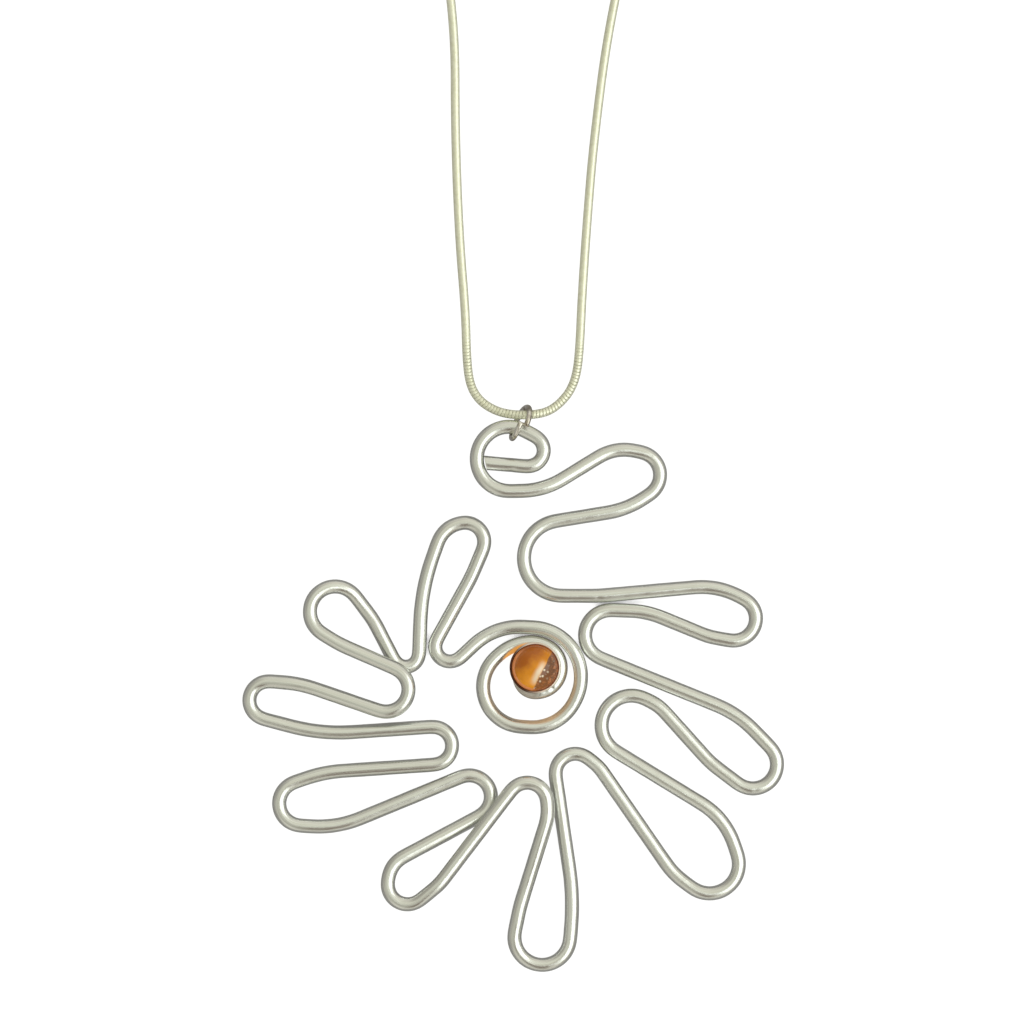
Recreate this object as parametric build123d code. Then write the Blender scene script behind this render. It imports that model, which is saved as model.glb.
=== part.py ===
from build123d import *
import os
from math import asin, atan2, ceil, cos, pi, radians, sin, tan
from typing import NamedTuple

os.makedirs("parts", exist_ok=True)

# A necklace laid on a table: a flower bent from one length of wire, with an amber stone at its middle,
# hung by a jump ring from a snake chain. Millimetres, +Z up from the table, +Y from the flower to the
# clasp. Places are measured from the point of the table under the stone's centre until the whole
# necklace is centred on the origin at the end.

# Flower wire
FLOWER_REACH = 42.0       # unit of the bend table: the stone's centre to just short of the lowest petal's end
WIRE_D = 2.0
PASS_GAP = 0.1            # air left where two passes of the wire lie against each other
CURL_END_HEADING = -5.0   # degrees from +X in which the wire sets out from its cut end in the curl
SPIRAL_END_HEADING = 141.0   # degrees from +X in which the wire ends under the stone
LONGEST_ARC = 100.0       # degrees of one bend that are drawn as one arc

# Stone and its cup
STONE_D = 6.4
STONE_EDGE = 0.7          # height of the stone's straight edge above its flat back
STONE_RISE = 2.3          # height of the dome above that edge
CUP_WALL = 0.3
CUP_BASE = 0.3
CUP_DEPTH = 0.9           # wall above the cup's floor
SEAT_GAP = 0.06           # air between the stone and the cup, and under the cup

# Jump ring, seen nearly edge on from above
RING_BORE = 4.1
RING_WIRE = 0.7
RING_RIGHT = -0.0502      # its centre from the stone's, in shares of FLOWER_REACH
RING_UP = 0.8124
RING_TWIST = 22.0         # degrees between the ring's plane and +Y, seen from above
RING_LEAN = 13.0          # degrees between the ring's plane and the vertical
RING_OVERLAP = 4.0        # degrees by which each half of the split ring passes the top
RING_SPRING = 5.0         # degrees by which each half is bent sideways, so that the ends pass each other

# Snake chain and what closes it
CHAIN_D = 1.2
CAP_WALL = 0.34
CAP_LENGTH = 4.0
CAP_BORE_DEPTH = 2.6
CAP_NECK = 0.5            # solid metal between the cap's closed end and its loop
CAP_RUN = 6.0             # straight start of the chain in its cap and out of its mouth
LOOP_WIRE = 0.6
LOOP_BORE = 1.8
CLASP_RING_BORE = 3.0
CLASP_LENGTH = 9.0        # between the centres of the clasp's two round ends
CLASP_WIDE = 2.7          # radius of the clasp's hook end
CLASP_NARROW = 1.5        # radius of its eye end
CLASP_EYE = 1.6
CLASP_MOUTH = 3.6         # bore inside the hook
CLASP_THICK = 1.2
LINK_GAP = 0.12           # air between links that hang in each other
FAR_SIDE = 188.9          # the line of the clasp, from the jump ring

LEFT = 1
RIGHT = -1


class Bend(NamedTuple):
    """One bend of the flower's wire.

    x, y and reach are shares of FLOWER_REACH: the bend's centre, and the radius to the outer side of
    the wire there. lift is the height of the middle of the bend in passes of the wire: 0 lies on the
    table and 1 lies on another pass. turn is the way round, seen from above.
    """
    name: str
    turn: int
    x: float
    y: float
    reach: float
    lift: float


BENDS = (
    Bend("curl_end", LEFT, -0.023, 0.721, 0.077, 0.57),
    Bend("curl_top", LEFT, -0.087, 0.693, 0.131, 0.57),
    Bend("curl_foot", LEFT, -0.046, 0.847, 0.284, 0.45),
    Bend("petal_1_shoulder", RIGHT, 0.297, 0.563, 0.185, 0.15),
    Bend("petal_1_tip", RIGHT, 0.340, 0.640, 0.101, 0.0),
    Bend("petal_1_heel", RIGHT, 0.194, 0.811, 0.324, 0.0),
    Bend("valley_1", LEFT, 0.088, 0.363, 0.149, 0.0),
    Bend("valley_1_run", LEFT, 0.190, 0.738, 0.524, 0.0),
    Bend("petal_2_shoulder", RIGHT, 0.555, 0.001, 0.290, 0.0),
    Bend("petal_2_tip", RIGHT, 0.662, 0.162, 0.098, 0.0),
    Bend("petal_2_heel", RIGHT, 0.635, 0.297, 0.226, 0.0),
    Bend("valley_2_top", LEFT, 0.308, -0.112, 0.324, 0.0),
    Bend("valley_2", LEFT, 0.249, 0.107, 0.107, 0.0),
    Bend("petal_3_shoulder", RIGHT, 0.466, -0.465, 0.390, 0.0),
    Bend("petal_3_tip", RIGHT, 0.725, -0.323, 0.105, 0.0),
    Bend("petal_3_heel", RIGHT, 0.788, -0.096, 0.324, 0.0),
    Bend("valley_3_top", LEFT, 0.326, -0.241, 0.164, 0.0),
    Bend("valley_3", LEFT, 0.321, -0.194, 0.124, 0.0),
    Bend("petal_4_shoulder", RIGHT, 0.425, -0.668, 0.274, 0.0),
    Bend("petal_4_tip", RIGHT, 0.581, -0.655, 0.122, 0.0),
    Bend("petal_4_heel", RIGHT, 0.642, -0.511, 0.274, 0.0),
    Bend("valley_4_top", LEFT, 0.125, -0.415, 0.144, 0.0),
    Bend("valley_4", LEFT, 0.134, -0.353, 0.090, 0.0),
    Bend("petal_5_shoulder", RIGHT, -0.708, -0.793, 0.855, 0.0),
    Bend("petal_5_tip", RIGHT, 0.024, -0.898, 0.117, 0.0),
    Bend("petal_5_heel", RIGHT, 0.370, -0.903, 0.457, 0.35),
    Bend("valley_5_flank", LEFT, -0.112, -0.473, 0.178, 0.9),
    Bend("valley_5", LEFT, -0.026, -0.446, 0.090, 1.0),
    Bend("petal_6_shoulder", RIGHT, -0.437, -0.602, 0.190, 0.85),
    Bend("petal_6_tip", RIGHT, -0.424, -0.721, 0.090, 0.55),
    Bend("petal_6_heel", RIGHT, -0.395, -0.712, 0.117, 0.4),
    Bend("valley_6", LEFT, -0.218, -0.431, 0.096, 0.0),
    Bend("petal_7_shoulder", RIGHT, -0.720, -0.164, 0.390, 0.0),
    Bend("petal_7_tip", RIGHT, -0.778, -0.453, 0.098, 0.0),
    Bend("petal_7_heel", RIGHT, -0.610, -0.810, 0.490, 0.0),
    Bend("valley_7", LEFT, -0.338, -0.261, 0.087, 0.0),
    Bend("petal_8_shoulder", RIGHT, -0.650, 0.416, 0.657, 0.0),
    Bend("petal_8_tip", RIGHT, -0.887, -0.110, 0.088, 0.1),
    Bend("petal_8_heel", RIGHT, -0.861, -0.449, 0.424, 0.4),
    Bend("valley_8", LEFT, -0.494, -0.071, 0.099, 1.08),
    Bend("petal_9_shoulder", RIGHT, -0.461, 0.439, 0.430, 0.85),
    Bend("petal_9_tip", RIGHT, -0.664, 0.186, 0.108, 0.7),
    Bend("petal_9_heel", RIGHT, -0.778, 0.006, 0.307, 0.15),
    Bend("valley_9", LEFT, -0.430, 0.044, 0.068, 0.0),
    Bend("petal_10_shoulder", RIGHT, 0.351, 0.123, 0.757, 0.0),
    Bend("petal_10_top", RIGHT, -0.232, 0.385, 0.120, 0.0),
    Bend("petal_10_tip", RIGHT, -0.232, 0.418, 0.088, 0.0),
    Bend("petal_10_heel", RIGHT, -0.663, 0.518, 0.524, 0.0),
    Bend("valley_10", LEFT, -0.283, 0.068, 0.074, 0.0),
    Bend("spiral_entry", RIGHT, -0.050, -0.089, 0.248, 0.0),
    Bend("spiral_right", RIGHT, -0.012, -0.032, 0.189, 0.3),
    Bend("spiral_foot", RIGHT, -0.007, -0.045, 0.179, 0.0),
    Bend("spiral_left", RIGHT, -0.040, -0.065, 0.157, 0.0),
    Bend("spiral_rise", RIGHT, -0.013, -0.078, 0.185, 0.0),
    Bend("spiral_crown", RIGHT, -0.012, -0.017, 0.125, 0.0),
    Bend("spiral_inner", RIGHT, 0.004, -0.002, 0.106, 0.0),
)

# The chain's route between its two end caps, chosen by hand along the middle of the chain and measured
# from the table under the jump ring: from the left cap down to the ring, across it on the run in the
# middle, and up again on the right.
CHAIN_ROUTE = (
    (-25.0, 186.1, 1.2),
    (-35.0, 177.9, 0.6),
    (-41.5, 160.4, 0.6),
    (-40.0, 136.9, 0.6),
    (-31.5, 113.9, 0.6),
    (-20.6, 93.4, 0.6),
    (-12.1, 74.9, 0.6),
    (-9.09, 56.88, 0.6),
    (-9.05, 40.38, 0.6),
    (-8.5, 26.18, 0.6),
    (-7.61, 15.58, 0.6),
    (-7.44, 8.88, 0.75),
    (-6.99, 5.33, 1.05),
    (-5.69, 3.13, 1.4),
    (-3.44, 1.68, 1.8),
    (-1.04, 1.12, 2.3),
    (1.9, 1.12, 2.3),
    (4.11, 1.63, 1.8),
    (5.92, 3.05, 1.4),
    (7.22, 4.8, 1.05),
    (8.03, 7.2, 0.75),
    (8.41, 11.38, 0.6),
    (8.66, 17.28, 0.6),
    (9.36, 27.88, 0.6),
    (10.36, 39.88, 0.6),
    (12.61, 56.88, 0.6),
    (17.2, 75.9, 0.6),
    (25.6, 94.9, 0.6),
    (34.5, 115.4, 0.6),
    (41.0, 137.9, 0.6),
    (41.5, 160.9, 0.6),
    (35.0, 177.9, 0.6),
    (25.0, 186.1, 1.2),
)
ARC_SHARE = 0.45          # how much of the shorter run each of the chain's arcs may take

SAME = 1e-7


# The wire's centre line

class Station(NamedTuple):
    """A point of the wire's centre line seen from above, its heading and the length of wire up to it."""
    x: float
    y: float
    heading: float
    along: float


class Knot(NamedTuple):
    """A point of the wire's centre line in space and its direction there."""
    place: Vector
    direction: Vector


def bend_centre(bend):
    """Centre of a bend on the table."""
    return Vector(bend.x, bend.y) * FLOWER_REACH


def bend_radius(bend):
    """Radius of the wire's centre line in a bend."""
    return bend.reach * FLOWER_REACH - WIRE_D / 2


def on_bend(bend, heading):
    """Point of a bend's circle at which the wire has this heading."""
    left_of_heading = Vector(-sin(heading), cos(heading))
    return bend_centre(bend) - left_of_heading * (bend.turn * bend_radius(bend))


def run_heading(bend, following):
    """Heading of the straight run that leaves one bend and meets the next, tangent to both."""
    across = bend_centre(following) - bend_centre(bend)
    offset = following.turn * bend_radius(following) - bend.turn * bend_radius(bend)
    return atan2(across.Y, across.X) - asin(offset / across.length)


def cut_end(first, second):
    """Start of the wire: its cut end stands just clear of the inside of the curl's loop."""
    heading = radians(CURL_END_HEADING)
    forward = Vector(cos(heading), sin(heading))
    leftward = Vector(-sin(heading), cos(heading))
    entry = on_bend(first, heading)
    to_loop = bend_centre(second) - entry
    inside = bend_radius(second) - WIRE_D / 2 - PASS_GAP
    half = abs(to_loop.dot(leftward)) + WIRE_D / 2
    return entry + forward * (to_loop.dot(forward) - (inside**2 - half**2) ** 0.5)


def plan_of_wire():
    """Walk through the bends.

    Returns the stations in order, and the length of wire at the middle of each bend.
    """
    headings = [radians(CURL_END_HEADING)]
    headings += [run_heading(bend, following) for bend, following in zip(BENDS, BENDS[1:])]
    headings += [radians(SPIRAL_END_HEADING)]
    start = cut_end(BENDS[0], BENDS[1])
    stations = [Station(start.X, start.Y, headings[0], 0.0)]
    middles = []
    for bend, heading, leaving in zip(BENDS, headings, headings[1:]):
        entry = on_bend(bend, heading)
        run = (entry - Vector(stations[-1].x, stations[-1].y)).length
        along = stations[-1].along + run
        turned = ((leaving - heading) * bend.turn) % (2 * pi)
        steps = ceil(turned / radians(LONGEST_ARC))
        for step in range(steps + 1):
            angle = turned * step / steps
            place = on_bend(bend, heading + bend.turn * angle)
            stations.append(Station(place.X, place.Y, heading + bend.turn * angle,
                                    along + angle * bend_radius(bend)))
        middles.append(along + turned * bend_radius(bend) / 2)
    return stations, middles


def height_at(along, middles):
    """Height of the wire's centre line and its slope, rising smoothly from bend to bend."""
    lifts = [WIRE_D / 2 + bend.lift * (WIRE_D + PASS_GAP) for bend in BENDS]
    spans = zip(middles, middles[1:], lifts, lifts[1:])
    for before, after, low, high in spans:
        if before <= along <= after:
            share = (along - before) / (after - before)
            rise = high - low
            return low + rise * share**2 * (3 - 2 * share), rise * 6 * share * (1 - share) / (after - before)
    return (lifts[0] if along < middles[0] else lifts[-1]), 0.0


def knots_of_wire():
    """The wire's centre line in space, as knots."""
    stations, middles = plan_of_wire()
    knots = []
    for station in stations:
        height, slope = height_at(station.along, middles)
        direction = Vector(cos(station.heading), sin(station.heading), slope).normalized()
        knots.append(Knot(Vector(station.x, station.y, height), direction))
    return knots


def arc_or_line(place, direction, end):
    """One edge that leaves a place in a direction and reaches the end: straight, or a round arc."""
    across = end - place
    if across.normalized().cross(direction).length < SAME:
        return Edge.make_line(place, end)
    return Edge.make_tangent_arc(place, direction, end)


def join(knot, following):
    """The edges between two knots: one line or arc where that fits both, or else two arcs that meet."""
    across = following.place - knot.place
    toward = across.normalized()
    mirrored = toward * (2 * knot.direction.dot(toward)) - knot.direction
    if (mirrored - following.direction).length < SAME:
        return [arc_or_line(knot.place, knot.direction, following.place)]
    both = knot.direction + following.direction
    spread = 2 * (knot.direction.dot(following.direction) - 1)
    forward = across.dot(both)
    if abs(spread) < SAME:
        reach = across.dot(across) / (2 * forward)
    else:
        reach = (forward - (forward**2 - spread * across.dot(across)) ** 0.5) / spread
    before = knot.place + knot.direction * reach
    after = following.place - following.direction * reach
    meeting = (before + after) / 2
    heading = (after - before).normalized()
    return [arc_or_line(knot.place, knot.direction, meeting),
            arc_or_line(meeting, heading, following.place)]


def swept_round(edges, diameter):
    """A round rod along a path of edges that follow each other smoothly."""
    path = Wire(edges)
    start = path.edges()[0]
    profile = Plane(origin=start @ 0, z_dir=start % 0) * Circle(diameter / 2)
    return sweep(profile, path=path)


def flower_wire():
    """The whole flower: hanging curl, ten petals and the spiral under the stone."""
    knots = knots_of_wire()
    edges = []
    for knot, following in zip(knots, knots[1:]):
        if (following.place - knot.place).length > SAME:
            edges += join(knot, following)
    print(f"flower wire: {sum(edge.length for edge in edges):.1f} mm in {len(edges)} edges")
    return swept_round(edges, WIRE_D)


# The stone and its cup

def cup_seat():
    """Height of the underside of the cup, just above the inner turn of the spiral."""
    return WIRE_D + SEAT_GAP


def bezel_cup():
    """Thin round cup on the inner turn of the spiral, open at the top, with a rounded rim."""
    bore = STONE_D / 2 + SEAT_GAP
    on_end = (Align.CENTER, Align.CENTER, Align.MIN)
    outside = Cylinder(bore + CUP_WALL, CUP_BASE + CUP_DEPTH, align=on_end)
    hollow = Cylinder(bore, CUP_DEPTH, align=on_end)
    cup = outside - Pos(0, 0, CUP_BASE) * hollow
    rim = cup.edges().filter_by(GeomType.CIRCLE).group_by(Axis.Z)[-1]
    return Pos(0, 0, cup_seat()) * fillet(rim, CUP_WALL * ARC_SHARE)


def cabochon():
    """Round stone with a flat back, a short straight edge and a smooth dome."""
    radius = STONE_D / 2
    cap_radius = (radius**2 + STONE_RISE**2) / (2 * STONE_RISE)
    half_angle = asin(radius / cap_radius) / 2
    centre_height = STONE_EDGE + STONE_RISE - cap_radius
    shoulder = (cap_radius * sin(half_angle), 0, centre_height + cap_radius * cos(half_angle))
    outline = [
        Edge.make_line((0, 0, 0), (radius, 0, 0)),
        Edge.make_line((radius, 0, 0), (radius, 0, STONE_EDGE)),
        Edge.make_three_point_arc((radius, 0, STONE_EDGE), shoulder, (0, 0, STONE_EDGE + STONE_RISE)),
        Edge.make_line((0, 0, STONE_EDGE + STONE_RISE), (0, 0, 0)),
    ]
    stone = revolve(Face(Wire(outline)), axis=Axis.Z)
    return Pos(0, 0, cup_seat() + CUP_BASE + SEAT_GAP) * stone


# The jump ring

def ring_foot():
    """The point of the table under the jump ring's centre."""
    return Vector(RING_RIGHT, RING_UP) * FLOWER_REACH


def ring_frame():
    """The jump ring's own directions: along the table in its plane, up in its plane, and across it."""
    twist = radians(RING_TWIST)
    lean = radians(RING_LEAN)
    along = Vector(sin(twist), cos(twist))
    flat_across = Vector(cos(twist), -sin(twist))
    upward = Vector(0, 0, cos(lean)) + flat_across * sin(lean)
    across = flat_across * cos(lean) - Vector(0, 0, sin(lean))
    return along, upward, across


def jump_ring():
    """Split ring that stands on the table, its two ends sprung apart sideways at the top."""
    along, upward, across = ring_frame()
    radius = (RING_BORE + RING_WIRE) / 2
    height = radius * cos(radians(RING_LEAN)) + RING_WIRE / 2
    foot = ring_foot() + Vector(0, 0, height) - upward * radius
    spring = radians(RING_SPRING)
    halves = []
    for side in (LEFT, RIGHT):
        rise = upward * cos(spring) + across * (side * sin(spring))
        middle = foot + rise * radius

        def at(angle):
            return middle - rise * (radius * cos(angle)) + along * (side * radius * sin(angle))

        end = pi + radians(RING_OVERLAP)
        halves.append((at(end), at(end / 2)))
    (first_end, first_middle), (last_end, last_middle) = halves
    edges = [Edge.make_three_point_arc(first_end, first_middle, foot),
             Edge.make_three_point_arc(foot, last_middle, last_end)]
    return swept_round(edges, RING_WIRE)


# The chain and what closes it, measured from the table under the jump ring

def link_height():
    """Height of the line on which the clasp and its links lie: the clasp's ring stands on the table."""
    return CLASP_RING_BORE / 2 + LOOP_WIRE


def loop_centres():
    """Where the links of the closed clasp are centred, from the left cap's loop to the right cap's."""
    eye_wall = CLASP_NARROW - CLASP_EYE / 2
    plate_half = CLASP_THICK / 2 + LINK_GAP
    loop_left = 0.0
    eye = loop_left + CLASP_EYE / 2 + eye_wall / 2
    hook = eye + CLASP_LENGTH
    ring = hook + CLASP_MOUTH / 2 + ((CLASP_RING_BORE / 2)**2 - plate_half**2) ** 0.5
    loop_right = ring + CLASP_RING_BORE / 2 - LINK_GAP + LOOP_BORE / 2
    middle = (loop_left + loop_right) / 2
    return [place - middle for place in (loop_left, eye, hook, ring, loop_right)]


def chain_ends():
    """Where the chain ends inside its left and right caps."""
    loop_left, _, _, _, loop_right = loop_centres()
    cap = LOOP_BORE / 2 + LOOP_WIRE / 2 + CAP_NECK + CAP_LENGTH - CAP_BORE_DEPTH + LINK_GAP
    return (Vector(loop_left - cap, FAR_SIDE, link_height()), Vector(loop_right + cap, FAR_SIDE, link_height()))


def chain_radii(points):
    """Radius of each of the chain's arcs: as large as its two runs allow."""
    radii = []
    for before, corner, after in zip(points, points[1:], points[2:]):
        arriving = corner - before
        leaving = after - corner
        turn = radians(arriving.get_angle(leaving))
        radii.append(ARC_SHARE * min(arriving.length, leaving.length) / tan(turn / 2))
    return radii


def snake_chain():
    """The whole chain as one round tube that lies on the table and climbs to the jump ring."""
    left, right = chain_ends()
    straight = Vector(CAP_RUN, 0, 0)
    route = [Vector(*point) for point in CHAIN_ROUTE]
    points = [left, left - straight] + route + [right + straight, right]
    radii = chain_radii(points)
    path = FilletPolyline(*points, radius=radii)
    print(f"chain: {path.length:.1f} mm, tightest arcs",
          ", ".join(f"{radius:.1f}" for radius in sorted(radii)[:6]))
    tube = swept_round(path.edges(), CHAIN_D)
    print(f"chain volume over section times length: {tube.volume / (pi * CHAIN_D**2 / 4 * path.length):.4f}")
    return tube


def end_cap(side, flat_loop):
    """Plain tube crimped on the chain's end, with a loop. side is LEFT or RIGHT."""
    loop_left, _, _, _, loop_right = loop_centres()
    reach = LOOP_BORE / 2 + LOOP_WIRE / 2
    on_end = (Align.CENTER, Align.CENTER, Align.MIN)
    bore = CHAIN_D / 2 + SEAT_GAP
    barrel = Cylinder(bore + CAP_WALL, CAP_LENGTH + CAP_NECK, align=on_end)
    barrel -= Pos(0, 0, CAP_NECK + CAP_LENGTH - CAP_BORE_DEPTH) * Cylinder(bore, CAP_BORE_DEPTH, align=on_end)
    outer_edges = barrel.edges().filter_by(GeomType.CIRCLE).sort_by(SortBy.RADIUS)[-2:]
    barrel = fillet(outer_edges, CAP_WALL / 2)
    loop = Torus((LOOP_BORE + LOOP_WIRE) / 2, LOOP_WIRE / 2)
    if not flat_loop:
        loop = Rot(90, 0, 0) * loop
    away = Rot(0, -90 * side, 0)
    cap = loop + Pos(-side * reach, 0, 0) * away * barrel
    centre = loop_left if side == LEFT else loop_right
    return Pos(centre, FAR_SIDE, link_height()) * cap


def clasp():
    """Closed lobster clasp, plain and flat: eye at the left cap's loop, hook round the clasp's ring."""
    _, eye, hook, _, _ = loop_centres()
    ends = [Pos(eye, 0) * Circle(CLASP_NARROW), Pos(hook, 0) * Circle(CLASP_WIDE)]
    outline = make_hull([edge for end in ends for edge in end.edges()])
    outline -= Pos(eye, 0) * Circle(CLASP_EYE / 2)
    outline -= Pos(hook, 0) * Circle(CLASP_MOUTH / 2)
    plate = extrude(outline, CLASP_THICK / 2, both=True)
    return Pos(0, FAR_SIDE, link_height()) * plate


def clasp_ring():
    """Plain ring that the clasp closes on, standing on the table."""
    _, _, _, ring, _ = loop_centres()
    loop = Torus((CLASP_RING_BORE + LOOP_WIRE) / 2, LOOP_WIRE / 2)
    return Pos(ring, FAR_SIDE, link_height()) * Rot(90, 0, 0) * loop


def necklace():
    """Every piece by its node name, centred on the origin and standing on the table."""
    on_ring = Pos(ring_foot())
    pieces = {
        "flower_wire": flower_wire(),
        "bezel_cup": bezel_cup(),
        "cabochon": cabochon(),
        "jump_ring": jump_ring(),
        "snake_chain": on_ring * snake_chain(),
        "end_cap_left": on_ring * end_cap(LEFT, flat_loop=False),
        "end_cap_right": on_ring * end_cap(RIGHT, flat_loop=True),
        "clasp": on_ring * clasp(),
        "clasp_ring": on_ring * clasp_ring(),
    }
    boxes = [piece.bounding_box() for piece in pieces.values()]
    middle_x = (min(box.min.X for box in boxes) + max(box.max.X for box in boxes)) / 2
    middle_y = (min(box.min.Y for box in boxes) + max(box.max.Y for box in boxes)) / 2
    print(f"stone's centre at {-middle_x:.3f}, {-middle_y:.3f}")
    return {name: Pos(-middle_x, -middle_y, 0) * piece for name, piece in pieces.items()}


for name, piece in necklace().items():
    export_step(piece, os.path.join("parts", f"{name}.step"))
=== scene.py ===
import logging
from dataclasses import dataclass
from enum import Enum
from math import asin, atan2, ceil, cos, pi, radians, sin
from typing import NamedTuple, Sequence

import bpy
import numpy as np
from bpy.types import Material, Node, NodeSocket, NodeTree, Object
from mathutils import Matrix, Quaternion, Vector


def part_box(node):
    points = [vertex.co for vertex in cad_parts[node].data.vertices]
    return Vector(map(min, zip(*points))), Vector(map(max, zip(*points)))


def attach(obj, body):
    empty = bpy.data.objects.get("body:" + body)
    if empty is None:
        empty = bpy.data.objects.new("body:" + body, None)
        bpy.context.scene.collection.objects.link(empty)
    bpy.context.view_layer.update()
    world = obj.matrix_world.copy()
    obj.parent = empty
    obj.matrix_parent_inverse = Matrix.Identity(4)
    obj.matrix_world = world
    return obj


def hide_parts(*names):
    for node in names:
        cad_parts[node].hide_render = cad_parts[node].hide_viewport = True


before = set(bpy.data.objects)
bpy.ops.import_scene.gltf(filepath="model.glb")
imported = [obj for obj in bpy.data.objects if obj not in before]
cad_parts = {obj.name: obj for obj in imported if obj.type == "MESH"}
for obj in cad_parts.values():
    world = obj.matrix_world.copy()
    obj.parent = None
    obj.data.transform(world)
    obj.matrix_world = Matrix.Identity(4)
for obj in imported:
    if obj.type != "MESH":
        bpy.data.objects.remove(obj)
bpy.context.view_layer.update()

# A necklace laid on a pale table and seen from straight above: a flower bent from one length of soft
# aluminium wire, with an amber stone at its middle, hung by a jump ring from a steel snake chain.
# Sizes are in millimetres and places are measured from the stone's centre, as in the CAD source;
# they become metres in the frame when a mesh is made.

log = logging.getLogger("necklace")

MM = 0.001
PIXEL = 0.14              # millimetres of the table for one pixel of the photograph
PHOTO_PIXELS = 1024
STONE_PIXEL = (535.0, 667.0)
REACH = 42.0              # millimetres of the flower's reach, of which the bends' sizes are shares
SEED = 11

Colour = tuple[float, float, float, float]
Source = NodeSocket | Node


def stone_foot() -> np.ndarray:
    """The point of the table under the stone's centre, in millimetres in the frame."""
    low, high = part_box("cabochon")
    return np.array([(low.x + high.x) / 2 / MM, (low.y + high.y) / 2 / MM, 0.0])


ORIGIN = stone_foot()


class Turn(Enum):
    """Which way a bend goes round, seen from above."""
    LEFT = 1
    RIGHT = -1


LEFT, RIGHT = Turn.LEFT, Turn.RIGHT


class Bend(NamedTuple):
    """One bend of the flower's wire.

    x, y and reach are shares of the flower's reach: the bend's centre, and the radius to the outer side
    of the wire there. lift is the height of its middle in passes of the wire.
    """
    name: str
    turn: Turn
    x: float
    y: float
    reach: float
    lift: float


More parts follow.
